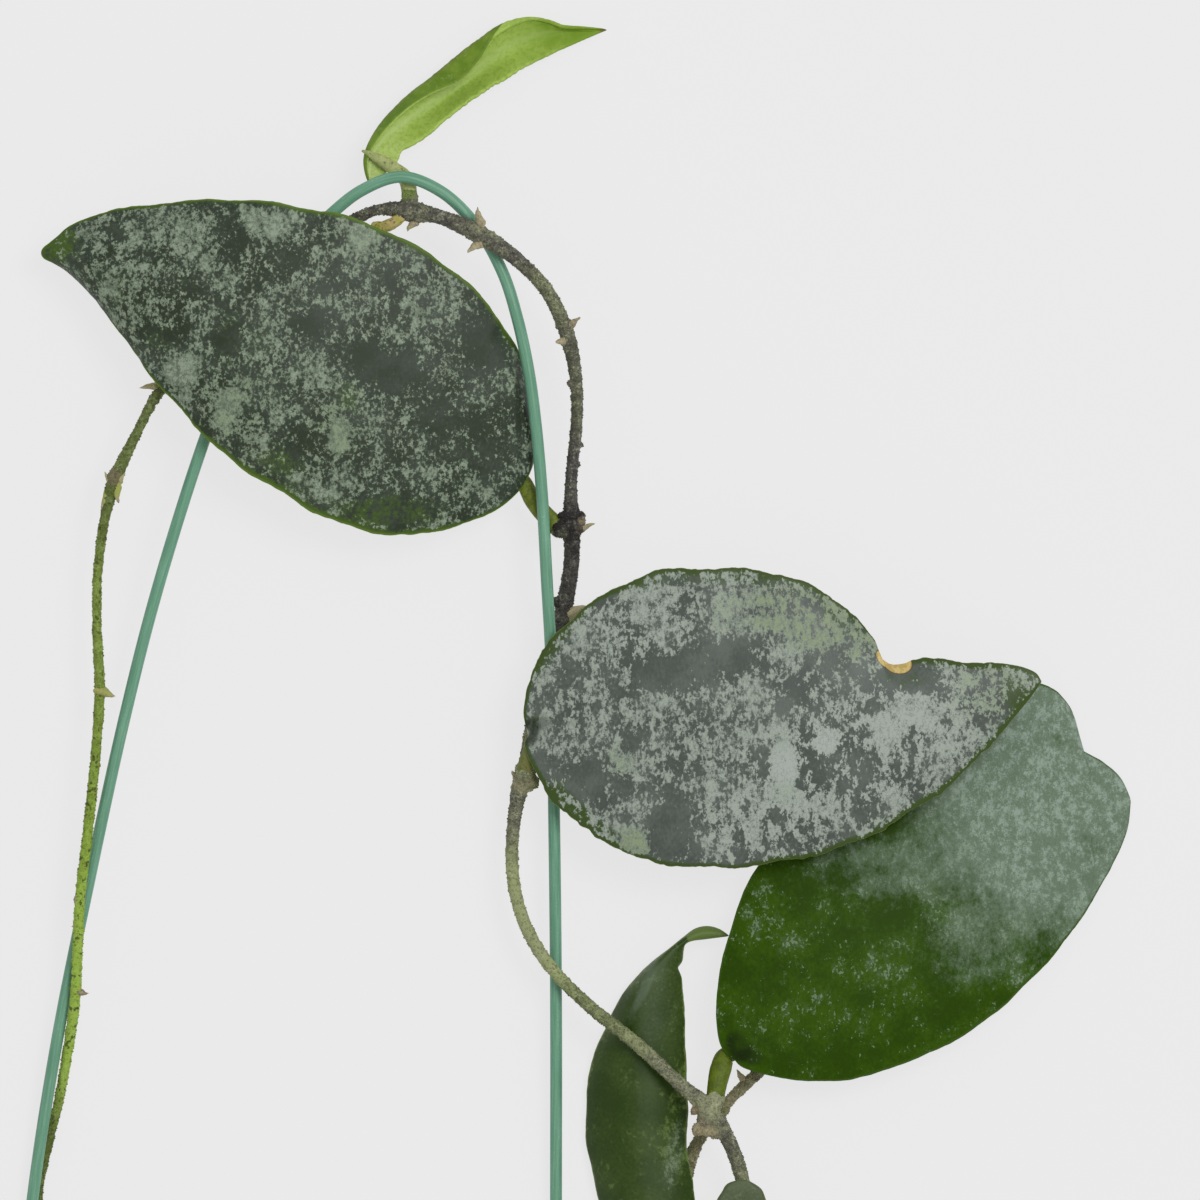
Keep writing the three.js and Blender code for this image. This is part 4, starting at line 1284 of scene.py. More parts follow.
@dataclass
class Vine:
    """The stems: one grown skin over the main stem, the side shoot and the stalk stubs.

    Attributes:
        voxel: The size of the cells that the skin is grown from.
        wart_count: How many warts there are on each square millimetre.
        hair_count: How many hairs there are on each square millimetre.
        rings: The offsets of a node's two raised rings along the stem, and their width.
        groove: The same of the groove beside them.
    """

    plan: Plan
    voxel: float = 0.35
    sides: int = 16
    wart_count: float = 1.3
    hair_count: float = 1.0
    rings: tuple[float, float, float] = (-2.6, 2.4, 0.45)
    groove: tuple[float, float] = (3.6, 0.5)

    def build(self) -> None:
        """Makes the skin, its warts and hairs, the pegs and the old bract."""
        bark = BarkFinish().material()
        skin = self._skin(bark)
        pieces = [skin, self._warts(skin, bark), self._hairs(skin), self._pegs(), self._old_bract()]
        for piece in pieces:
            settle(piece, Slot.STEM, "main_stem")

    def _skin(self, material: Material) -> Piece:
        """Grows one skin over all the stems and roughens it.

        Args:
            material: Its material.

        Returns:
            The skin.
        """
        parts = [
            swept_tube(MAIN_STEM, self.sides, 0.8), swept_tube(SIDE_SHOOT, self.sides, 0.8),
            *[swept_tube(self._stub(node, stalk), self.sides, 0.6) for node, stalk in STUBS],
            *[self._ball(knob) for knob in KNOBS],
        ]
        points, faces = joined(parts)
        block = new_piece("stem_block", self.plan.metres(points), faces)
        grow = block.modifiers.new("grow", "REMESH")
        grow.mode = "VOXEL"
        grow.voxel_size = self.voxel * MM
        ease = block.modifiers.new("ease", "SMOOTH")
        ease.factor = 0.5
        ease.iterations = 3
        skin = plain_copy(block, "stem_skin")
        mesh = skin.data
        mesh.shade_smooth()
        mesh.materials.clear()
        mesh.materials.append(material)
        flat = np.zeros(len(mesh.vertices) * 3)
        mesh.vertices.foreach_get("co", flat)
        place = self.plan.millimetres(flat.reshape(-1, 3))
        mesh.vertices.foreach_get("normal", flat)
        outward = flat.reshape(-1, 3).copy()
        light, lime, tan, ring = self._tones(place)
        lift = 0.18 * rough(place, 1.2, 3) + 0.12 * rough(place, 0.6, 8) + 0.2 * ring
        place = place + outward * lift[:, None]
        mesh.vertices.foreach_set("co", self.plan.metres(place).ravel())
        add_numbers(mesh, {"light": light, "lime": lime, "tan": tan, "wart": np.zeros(len(place))})
        mesh.update()
        return skin

    @staticmethod
    def _ball(knob: Knob) -> Shape:
        """The short bead that a knob is grown from.

        Args:
            knob: The knob.

        Returns:
            The bead.
        """
        x, y, z = knob.middle
        half = knob.radius * 0.4
        return swept_tube([(x - half, y, z, knob.radius), (x + half, y, z, knob.radius)], 12, half)

    @staticmethod
    def _stub(node: Point, stalk: Points) -> Points:
        """The route from a node's middle to the joint with a leaf stalk.

        Args:
            node: The node's middle.
            stalk: The stalk's route.

        Returns:
            The route.
        """
        back = from_joint(stalk)[0]
        radius = stalk[0][3]
        return [(*node, radius), (*back[:3], radius * 1.02), (*stalk[0][:3], radius * 0.97)]

    def _tones(self, place: Array) -> tuple[Array, Array, Array, Array]:
        """Works out lightness, greenness, tan scars and node rings of the skin.

        Args:
            place: The skin's vertices, in plan millimetres.

        Returns:
            Four numbers for each vertex.
        """
        main = Spline([point[:3] for point in MAIN_STEM])
        share = np.linspace(0, 1, int(main.length / 0.5))
        stops = main.even(share)
        where = main.place_of(share)
        run = share * main.length
        shoot = Spline([point[:3] for point in SIDE_SHOOT])
        shoot_stops = shoot.even(np.linspace(0, 1, int(shoot.length)))
        tree = kdtree.KDTree(len(stops) + len(shoot_stops))
        for index, stop in enumerate([*stops, *shoot_stops]):
            tree.insert(Vector(stop), index)
        tree.balance()
        near = np.array([tree.find(Vector(p))[1] for p in place])
        on_main = near < len(stops)
        index = np.where(on_main, near, 0)
        tones = np.array(STEM_TONES)
        light = np.where(on_main, np.interp(where[index], tones[:, 0], tones[:, 1]), SHOOT_TONE[0])
        lime = np.where(on_main, np.interp(where[index], tones[:, 0], tones[:, 2]), SHOOT_TONE[1])
        ring = np.zeros(len(place))
        for node in STEM_NODES:
            away = run[index] - np.interp(node, where, run)
            for offset in self.rings[:2]:
                ring += np.exp(-(((away - offset) / self.rings[2]) ** 2))
            ring -= 0.5 * np.exp(-(((away - self.groove[0]) / self.groove[1]) ** 2))
        tan = np.where(on_main, 0, SHOOT_TONE[2])
        for knob in KNOBS:
            away = np.linalg.norm(place - np.array(knob.middle), axis=1)
            over = smooth((knob.radius * 1.7 - away) / (knob.radius * 0.7))
            light = light + (knob.light - light) * over
            lime = lime + (knob.lime - lime) * over
            tan = np.maximum(tan, knob.tan * over)
        return light, lime, tan, np.where(on_main, ring, 0)

    def _warts(self, skin: Piece, material: Material) -> Piece:
        """Sets small warts on the skin with Geometry Nodes.

        Args:
            skin: The skin.
            material: Their material.

        Returns:
            The warts.
        """
        tree = Grower("stem_warts")
        points = tree.strewn(self.wart_count, 11)
        marked = tree.marked(points.outputs["Points"], "wart", 1.0)
        grain = tree.between(0.12 * MM, 0.3 * MM, 5)
        stretch = tree.add("ShaderNodeCombineXYZ", None, {0: grain, 1: grain, 2: grain * 0.8})
        wart = tree.add(
            "GeometryNodeMeshCone", None,
            {"Vertices": 5, "Radius Top": 0.45, "Radius Bottom": 1.0, "Depth": 1.0})
        warts = tree.planted(marked, wart, points.outputs["Rotation"], stretch)
        return tree.run(linked("wart_ground", skin.data), warts, material, "stem_warts")

    def _hairs(self, skin: Piece) -> Piece:
        """Sets short pale hairs on the skin with Geometry Nodes.

        Args:
            skin: The skin.

        Returns:
            The hairs.
        """
        tree = Grower("stem_hairs")
        points = tree.strewn(self.hair_count, 23)
        length = tree.between(0.12, 0.4, 3)
        stretch = tree.add("ShaderNodeCombineXYZ", None, {0: 1.0, 1: 1.0, 2: length})
        hair = tree.add(
            "GeometryNodeMeshCone", None,
            {"Vertices": 4, "Radius Top": 0.008 * MM, "Radius Bottom": tree.size("Root", 0.045 * MM),
             "Depth": 1 * MM})
        lean = tree.add(
            "FunctionNodeRandomValue", {"data_type": "FLOAT_VECTOR"},
            {0: (-0.6, -0.6, 0.0), 1: (0.6, 0.6, 6.28), "Seed": 9}, 0)
        turned = tree.add(
            "FunctionNodeRotateEuler", {"rotation_type": "EULER", "space": "LOCAL"},
            {"Rotation": points.outputs["Rotation"], "Rotate By": lean})
        hairs = tree.planted(points.outputs["Points"], hair, turned, stretch)
        finish = SkinFinish(
            "stem_hair", seen(120, 118, 96), seen(150, 148, 122), seen(90, 88, 66), 0.05, 0.8)
        return tree.run(linked("hair_ground", skin.data), hairs, finish.material(), "stem_hairs")

    def _pegs(self) -> Piece:
        """Sets the pegs, bracts and spurs on the stems with Geometry Nodes.

        Returns:
            The pegs.
        """
        feet = np.array([peg.foot for peg in PEGS])
        aims = np.array([peg.point for peg in PEGS]) - feet
        mesh = bpy.data.meshes.new("peg_feet")
        mesh.from_pydata(self.plan.metres(feet).tolist(), [], [])
        aim = mesh.attributes.new("aim", "FLOAT_VECTOR", "POINT")
        aim.data.foreach_set("vector", (aims * MM).ravel())
        add_numbers(mesh, {"width": [peg.width * MM for peg in PEGS]})
        for name in ("tone", "fresh", "young"):
            add_numbers(mesh, {name: [getattr(peg, name) for peg in PEGS]})

        tree = Grower("stem_pegs")
        upright = tree.add("GeometryNodeCurvePrimitiveLine")
        line = tree.add(
            "GeometryNodeResampleCurve", None, {"Curve": upright, "Count": tree.size("Rings", 14)})
        height = tree.add("GeometryNodeSplineParameter", output="Factor")
        bow = tree.add("ShaderNodeCombineXYZ", None, {0: (height * height - height) * 0.4})
        line = tree.add("GeometryNodeSetPosition", None, {"Geometry": line, "Offset": bow})
        line = tree.marked(line, "height", height)
        ring = tree.add(
            "GeometryNodeCurvePrimitiveCircle", None, {"Resolution": 14, "Radius": 1.0})
        shape = tree.add(
            "GeometryNodeCurveToMesh", None,
            {"Curve": line, "Profile Curve": ring, "Scale": 1.04 - height ** 1.6, "Fill Caps": True})
        aim_wire = tree.named("aim", "FLOAT_VECTOR")
        width = tree.named("width")
        length = tree.add("ShaderNodeVectorMath", {"operation": "LENGTH"}, {0: aim_wire}, "Value")
        turned = tree.add("FunctionNodeAlignRotationToVector", {"axis": "Z"}, {"Vector": aim_wire})
        stretch = tree.add("ShaderNodeCombineXYZ", None, {0: width, 1: width * 0.75, 2: length})
        places = tree.add("GeometryNodeMeshToPoints", None, {"Mesh": tree.given})
        pegs = tree.planted(places, tree.shaded(shape), turned, stretch)
        pegs = tree.add("GeometryNodeRealizeInstances", None, {0: pegs})
        uneven = tree.add(
            "ShaderNodeTexNoise", None, {"Scale": 1 / (1.1 * MM), "Detail": 2.0}, "Color")
        uneven = tree.add(
            "ShaderNodeVectorMath", {"operation": "SUBTRACT"}, {0: uneven, 1: (0.5, 0.5, 0.5)})
        uneven = tree.add(
            "ShaderNodeVectorMath", {"operation": "SCALE"},
            {0: uneven, "Scale": tree.size("Unevenness", 0.8 * MM)})
        pegs = tree.add("GeometryNodeSetPosition", None, {"Geometry": pegs, "Offset": uneven})
        start = linked("peg_feet", mesh)
        return tree.run(start, pegs, PegFinish().material(), "stem_pegs")

    def _old_bract(self) -> Piece:
        """Makes the yellowed bract below the topmost node.

        Returns:
            The bract.
        """
        points, faces = swept_tube(OLD_BRACT, 16, 0.25, bump=0.24, groove=0.4, seed=2)
        finish = SkinFinish(
            "old_bract_skin", seen(184, 166, 116), seen(160, 158, 78), seen(110, 88, 58), 0.2, 0.6)
        return new_piece("stem_old_bract", self.plan.metres(points), faces, finish.material())


def patched(points: Array, patches: Points) -> Array:
    """Adds up given patches, which are soft ellipses on the plan.

    Args:
        points: Plan points.
        patches: Rows of (x, y, half the width, half the height, what it adds in its middle), and
            degrees anticlockwise where the patch is turned.

    Returns:
        One number for each point.
    """
    total = np.zeros(points.shape[:-1])
    for x, y, wide, high, amount, *turn in patches:
        angle = math.radians(sum(turn))
        dx, dy = points[..., 0] - x, points[..., 1] - y
        across = (dx * math.cos(angle) + dy * math.sin(angle)) / wide
        along = (dy * math.cos(angle) - dx * math.sin(angle)) / high
        total += amount / (1 + (across**2 + along**2) ** 3)
    return total


class Sheet:
    """A thin closed sheet round a surface. It closes to nothing at its rims and poles.

    Attributes:
        points: Its vertices.
        faces: Its faces.
        upper: The grid of vertex numbers on the upper face.
        lower: The same on the lower face, which shares the rims.
    """

    def __init__(self, surface: Array, thickness: Array | float, edge: Array, rim: float) -> None:
        """Gives a surface a thickness.

        Args:
            surface: A grid of points, rows from base to tip and columns from right to left.
            thickness: The thickness away from the margins.
            edge: The distance from the margin at each point.
            rim: The thickness that the margin is rounded to.
        """
        inset = np.clip(edge / (rim / 2), 0, 1)
        half = thickness / 2 * np.sqrt(1 - (1 - inset) ** 2)
        half[0], half[-1] = 0, 0
        rows, columns = surface.shape[0] - 1, surface.shape[1] - 1
        self._number(rows, columns)
        along = np.gradient(surface, axis=0)
        across = np.gradient(surface, axis=1)
        normal = unit(np.cross(across, along))
        if normal[..., 2].mean() < 0:
            normal = -normal
            self.faces = [face[::-1] for face in self.faces]
        normal[0], normal[-1] = normal[1], normal[-2]
        normal[:, 0], normal[:, -1] = normal[:, 1], normal[:, -2]
        points = np.zeros((self.upper.max() + 1 + (rows - 1) * (columns - 1), 3))
        points[self.lower.ravel()] = (surface - normal * half[..., None]).reshape(-1, 3)
        points[self.upper.ravel()] = (surface + normal * half[..., None]).reshape(-1, 3)
        middle = columns // 2
        points[0], points[1] = surface[0, middle], surface[-1, middle]
        points[self.upper[1:-1, 0]] = surface[1:-1, 0]
        points[self.upper[1:-1, -1]] = surface[1:-1, -1]
        self.points = points

    def _number(self, rows: int, columns: int) -> None:
        """Numbers the vertices and lists the faces.

        Args:
            rows: Steps from base to tip.
            columns: Steps from the right margin to the left one.
        """
        upper = np.zeros((rows + 1, columns + 1), int)
        upper[rows] = 1
        inner = np.arange((rows - 1) * (columns + 1)).reshape(rows - 1, columns + 1)
        upper[1:rows] = inner + 2
        lower = upper.copy()
        under = np.arange((rows - 1) * (columns - 1)).reshape(rows - 1, columns - 1)
        lower[1:rows, 1:columns] = under + 2 + inner.size
        self.upper, self.lower = upper, lower
        self.faces: Faces = []
        for grid, turned in ((upper, False), (lower, True)):
            a, b = grid[:-1, :-1], grid[:-1, 1:]
            c, d = grid[1:, 1:], grid[1:, :-1]
            quads = np.stack([a, d, c, b] if turned else [a, b, c, d], axis=-1)
            self.faces.extend(list(dict.fromkeys(quad)) for quad in quads.reshape(-1, 4).tolist())

    def spread(self, values: Array) -> Array:
        """Spreads a grid of numbers over the vertices of both faces.

        Args:
            values: The grid.

        Returns:
            One number for each vertex.
        """
        spread = np.zeros(len(self.points))
        spread[self.lower.ravel()] = values.ravel()
        spread[self.upper.ravel()] = values.ravel()
        return spread


@dataclass(frozen=True)
class Roll:
    """A stretch of margin that is rolled down.

    Attributes:
        start: Where it begins, as a share of the margin's length, as for stop.
        reach: Where the roll starts, as a share of the way from the rib to the margin.
    """

    side: Side
    start: float
    stop: float
    reach: float
    depth: float


@dataclass
class Leaf:
    """A leaf: a thin cambered blade with a rounded rim, and its stalk.

    Attributes:
        node: The CAD node that it stands for.
        camber: How far the left and the right margin lie below the rib.
        ripple: The height of nine small waves along each margin.
        swell: The height of the blade's gentle unevenness.
        roll: A rolled stretch of margin.
        rests: Whether the blade's lowest point lies on the floor.
        thickness: The blade's thickness at the rib.
        crenation: The height of the margin's small bumps.
        crenation_step: Their spacing.
        lead: How far the rows' ends on the rib run ahead of the margins' towards the tip.
        silver: Patches of more or less silver, as `patched` reads them, and so for the rest:
            greener ground, warmer silver, dark scars and a painted shadow, pale streaks and
            painted glints, a painted sheen and cork.
    """

    plan: Plan
    node: str
    left: Points
    right: Points
    rib: Points
    stalk: Points
    slot: Slot
    finish: LeafFinish
    stalk_finish: SkinFinish
    camber: tuple[float, float]
    ripple: float = 0.3
    swell: float = 0.3
    roll: Roll | None = None
    rests: bool = False
    thickness: float = 1.5
    crenation: float = 0.3
    crenation_step: float = 2.6
    lead: float = 0.7
    silver: Points = ()
    green: Points = ()
    warm: Points = ()
    scars: Points = ()
    streaks: Points = ()
    painted_sheen: Points = ()
    callus: Points = ()
    rows: int = 260
    columns: int = 60

    RIM_THICKNESS = 0.9
    RIPPLE_COUNT = 9
    RIPPLE_PHASE = 2
    RIB_RADIUS = 1.1
    RIB_TAPER = 0.4
    RIB_SHARE = 0.55
    RIB_STATIONS = (0.04, 0.12, 0.3, 0.55, 1)
    RIB_DEPTH = 0.15
    CALLUS_LIP = 0.3

    def build(self) -> None:
        """Makes the blade and the stalk."""
        surface, edge, share, reach = self._surface()
        full = self.RIM_THICKNESS + (self.thickness - self.RIM_THICKNESS) * (
            (1 - reach**2) * np.sin(np.pi * share) ** 0.4
        )
        sheet = Sheet(surface, full, edge, self.RIM_THICKNESS)
        drop = sheet.points[:, 2].min() if self.rests else 0.0
        sheet.points[:, 2] -= drop
        flat = surface[..., :2]
        grids = {
            "edge": edge, "patch": patched(flat, self.silver), "green": patched(flat, self.green),
            "warm": patched(flat, self.warm), "scar_and_shadow": np.clip(patched(flat, self.scars), 0, 1),
            "streak_and_glint": np.clip(patched(flat, self.streaks), 0, 1),
            "painted_sheen": np.clip(patched(flat, self.painted_sheen), 0, 1),
            "callus": patched(flat, self.callus),
        }
        numbers = {name: sheet.spread(grid) for name, grid in grids.items()}
        numbers["face"] = np.zeros(len(sheet.points))
        numbers["face"][sheet.upper.ravel()] = 1
        blade = new_piece(
            self.node + "_blade", self.plan.metres(sheet.points), sheet.faces,
            self.finish.material(), numbers)
        settle(blade, self.slot, self.node)
        settle(self._stalk(drop), self.slot, self.node)

    def _surface(self) -> tuple[Array, Array, Array, Array]:
        """Works out the blade's middle surface.

        Returns:
            Grids of its points, the distance from the margin, the share of the way from base to
            tip, and the share of the way from rib to margin.
        """
        even = np.linspace(0, 1, self.rows + 1)
        rows = even + 0.5 * ((1 - np.cos(np.pi * even)) / 2 - even)
        sides = np.sin(np.pi / 2 * np.linspace(-1, 1, self.columns + 1))
        share = np.repeat(rows[:, None], len(sides), axis=1)
        reach = np.abs(np.repeat(sides[None, :], len(rows), axis=0))
        on_rib = rows + self.lead * ((1 - np.cos(np.pi * rows)) / 2 - rows)
        centre = Spline(self.rib).even(on_rib)
        surface = np.zeros((len(rows), len(sides), 3))
        edge = np.zeros(share.shape)
        for side, margin, camber in (
            (Side.LEFT, self.left, self.camber[0]), (Side.RIGHT, self.right, self.camber[1]),
        ):
            columns = np.sign(sides) == side.value
            if side is Side.LEFT:
                columns |= sides == 0
            part = self._half(side, margin, camber, rows, centre, reach[:, columns])
            surface[:, columns] = part[0]
            edge[:, columns] = part[1]
        flat = surface[..., :2]
        wave = self.swell * (rough(flat, 16, 5) + 0.3 * rough(flat, 5, 9))
        lip = self.CALLUS_LIP * patched(flat, self.callus)
        surface[..., 2] += wave * np.sin(np.pi * share) + lip
        return surface, edge, share, reach

    def _half(
        self, side: Side, margin: Points, camber: float, rows: Array, centre: Array, reach: Array,
    ) -> tuple[Array, Array]:
        """Works out one half of the blade.

        Args:
            side: Which half.
            margin: Its margin.
            camber: How far the margin lies below the rib.
            rows: Shares of the way from base to tip.
            centre: The rib's points.
            reach: A grid of shares of the way from rib to margin.

        Returns:
            Grids of points and of the distance from the margin.
        """
        line = Spline([self.rib[0][:2], *margin, self.rib[-1][:2]])
        rim = line.even(rows)
        heading = line.heading(rows)
        outward = np.stack([-heading[:, 1], heading[:, 0]], axis=1) * side.value
        middle = np.sin(np.pi * rows)
        phase = 0 if side is Side.LEFT else self.RIPPLE_PHASE
        wave = self.ripple * np.sin(2 * np.pi * self.RIPPLE_COUNT * rows + phase) * middle
        run = (rows * line.length)[:, None]
        bumps = rough(run, self.crenation_step, 4 + side.value) + 0.4 * rough(run, 0.9, 7)
        push = (
            wave[:, None] * reach**6
            + self.crenation * (bumps * np.minimum(1, 3 * middle))[:, None] * reach**12
        )
        drop = camber * (middle**0.8)[:, None] * reach**2 + wave[:, None] * reach**4
        if self.roll and self.roll.side is side:
            window = (rows - self.roll.start) / (self.roll.stop - self.roll.start)
            window = np.sin(np.pi * np.clip(window, 0, 1)) ** 0.5
            drop += self.roll.depth * window[:, None] * smooth(
                (reach - self.roll.reach) / (1 - self.roll.reach))
        points = np.zeros((*reach.shape, 3))
        for axis in range(2):
            start, end = centre[:, None, axis], rim[:, None, axis]
            points[..., axis] = start + (end - start) * reach + outward[:, None, axis] * push
        points[..., 2] = centre[:, None, 2] - drop
        span = np.linalg.norm(rim - centre[:, :2], axis=1)[:, None]
        return points, (1 - reach) * span

    def _stalk(self, drop: float) -> Piece:
        """Makes the stalk, which runs on under the blade as its rib.

        Args:
            drop: How far the blade was lowered onto the floor.

        Returns:
            The piece.
        """
        line = Spline(self.rib)
        route = from_joint(self.stalk)
        for share in self.RIB_STATIONS:
            x, y, z = line.even(np.array([share * self.RIB_SHARE]))[0]
            radius = self.RIB_RADIUS * (1 - (1 - self.RIB_TAPER) * share)
            route.append((x, y, z - drop - self.RIB_DEPTH - radius, radius))
        points, faces = swept_tube(route, 18, 0.4, bump=0.05, groove=0.14, seed=6)
        return new_piece(
            self.node + "_stalk", self.plan.metres(points), faces, self.stalk_finish.material())


# The young leaf's base and tip, and the lines between them that its sheet passes through
YOUNG_BASE = (-57.8, 104.4, 12.8)
YOUNG_TIP = (1.7, 142.6, 5)
YOUNG_MARGIN = [
    (-54, 106.3, 12.4), (-50.7, 109.4, 11.4), (-49.4, 112.4, 10.2), (-46.4, 113.8, 9.4), (-38.5, 120, 7),
    (-28.2, 127.7, 5), (-15.5, 135, 4), (-7.2, 138.9, 4),
]
YOUNG_BELLY = [
    (-56.2, 111, 11.4), (-53.2, 115, 9), (-45, 121, 4.4), (-34, 129, 1.2), (-22, 137.4, 0.6),
    (-10, 142, 2.2),
]
YOUNG_FOLD = [
    (-58.6, 110.3, 12.2), (-56.5, 116, 11.2), (-50.5, 123.4, 8.4), (-41.8, 130.7, 6.2), (-32.4, 138.3, 5),
    (-22.8, 144.4, 4.6), (-17, 145.4, 4.2), (-12.4, 144.5, 4.4), (-9.3, 143.4, 4.5), (-4, 143, 4.8),
]
YOUNG_ROLLED_MARGIN = [
    (-58, 110.3, 13.2), (-55, 115.8, 13), (-48.4, 122.6, 11.2), (-42.3, 126.6, 9.8), (-34.8, 130, 8.8),
    (-30, 135.2, 7.6), (-26.2, 140.9, 6.2), (-17, 145.1, 4.6), (-12.4, 144.3, 4.7), (-9.3, 143.2, 4.8),
    (-4, 142.9, 4.9),
]


@dataclass
class YoungLeaf:
    """The young top leaf, which shows its underside and has one margin rolled over.

    Places across it count its guide lines: the margin is 0, the belly 1, the fold 2 and the rolled
    margin 3.

    Attributes:
        rows: Steps from base to tip.
        columns: Steps from margin to margin.
        ripple: The height of the free margin's small waves.
        rib: The rib's place and its width.
        crease: The same of the brown crease along the fold.
        crease_end: Where the crease ends, as a share of the length, and how softly.
        opening: Where the fold opens, how much later that is from place to place, and how softly.
    """

    plan: Plan
    thickness: float = 1.1
    rows: int = 220
    columns: int = 64
    ripple: float = 0.55
    rib: tuple[float, float] = (1.25, 0.12)
    crease: tuple[float, float] = (2.0, 0.1)
    crease_end: tuple[float, float] = (0.69, 0.03)
    opening: Point = (0.685, 0.055, 0.008)

    def build(self) -> None:
        """Makes the blade and the stalk."""
        surface = self._surface()
        width = np.linalg.norm(np.diff(surface, axis=1), axis=2)
        run = np.concatenate([np.zeros((len(width), 1)), np.cumsum(width, axis=1)], axis=1)
        sheet = Sheet(surface, self.thickness, np.minimum(run, run[:, -1:] - run), self.thickness)
        sheet.points[:, 2] -= sheet.points[:, 2].min()
        share = np.repeat(np.linspace(0, 1, self.rows + 1)[:, None], self.columns + 1, axis=1)
        places = self._places()[None, :]
        ends, soft = self.crease_end
        start, slant, sharp = self.opening
        rib = np.exp(-(((places - self.rib[0]) / self.rib[1]) ** 2)) * (1 - share) ** 0.7
        crease = np.exp(-(((places - self.crease[0]) / self.crease[1]) ** 2))
        grids = {"along": share, "rib": rib, "crease": crease * smooth((ends - share) / soft)}
        numbers = {name: sheet.spread(grid) for name, grid in grids.items()}
        opened = smooth((share - start + slant * (places - 2)) / sharp + 0.5)
        numbers["face"] = np.zeros(len(sheet.points))
        numbers["face"][sheet.lower.ravel()] = opened.ravel()
        numbers["face"][sheet.upper.ravel()] = 1
        finish = YoungLeafFinish().material()
        points = self.plan.metres(sheet.points)
        blade = new_piece("leaf_young_blade", points, sheet.faces, finish, numbers)
        settle(blade, Slot.YOUNG_LEAF, "leaf_young")
        settle(self._stalk(), Slot.YOUNG_LEAF, "leaf_young")

    def _places(self) -> Array:
        """The places of the columns."""
        even = np.linspace(-1, 1, self.columns + 1)
        return (np.sin(np.pi / 2 * even) * 0.5 + even * 0.5 + 1) * 1.5

    def _surface(self) -> Array:
        """Works out the sheet's middle surface from the margin over the fold to the margin.

        Returns:
            A grid of its points.
        """
        share = np.linspace(0, 1, self.rows + 1)
        guides = [YOUNG_MARGIN, YOUNG_BELLY, YOUNG_FOLD, YOUNG_ROLLED_MARGIN]
        lines = np.stack([Spline([YOUNG_BASE, *guide, YOUNG_TIP]).even(share) for guide in guides], axis=1)
        lines[..., 2] += np.arange(4) * 1e-3
        places = self._places()
        surface = np.stack([Spline(row).at(places) for row in lines])
        run = (share * 80)[:, None]
        bend = (rough(run, 4.2, 2) + 0.8 * rough(run, 1.1, 6)) * np.sin(np.pi * share)
        near_margin = np.clip(1 - places / 0.8, 0, 1) ** 1.5
        surface[..., 1] -= self.ripple * bend[:, None] * near_margin[None, :]
        surface[..., 2] += self.ripple * np.roll(bend, 4)[:, None] * near_margin[None, :]
        near_fold = np.exp(-(((places - 2.0) / 0.3) ** 2))
        surface[..., 1] += 0.25 * np.roll(bend, 9)[:, None] * near_fold[None, :]
        return surface

    def _stalk(self) -> Piece:
        """Makes the leaf stalk.

        Returns:
            The stalk.
        """
        points, faces = swept_tube(
            from_joint(YOUNG_STALK), 18, 0.4, bump=0.05, groove=0.1, seed=12)
        finish = SkinFinish(
            "young_stalk_skin", seen(172, 180, 122), seen(150, 158, 104), seen(104, 100, 66), 0.12)
        return new_piece("leaf_young_stalk", self.plan.metres(points), faces, finish.material())


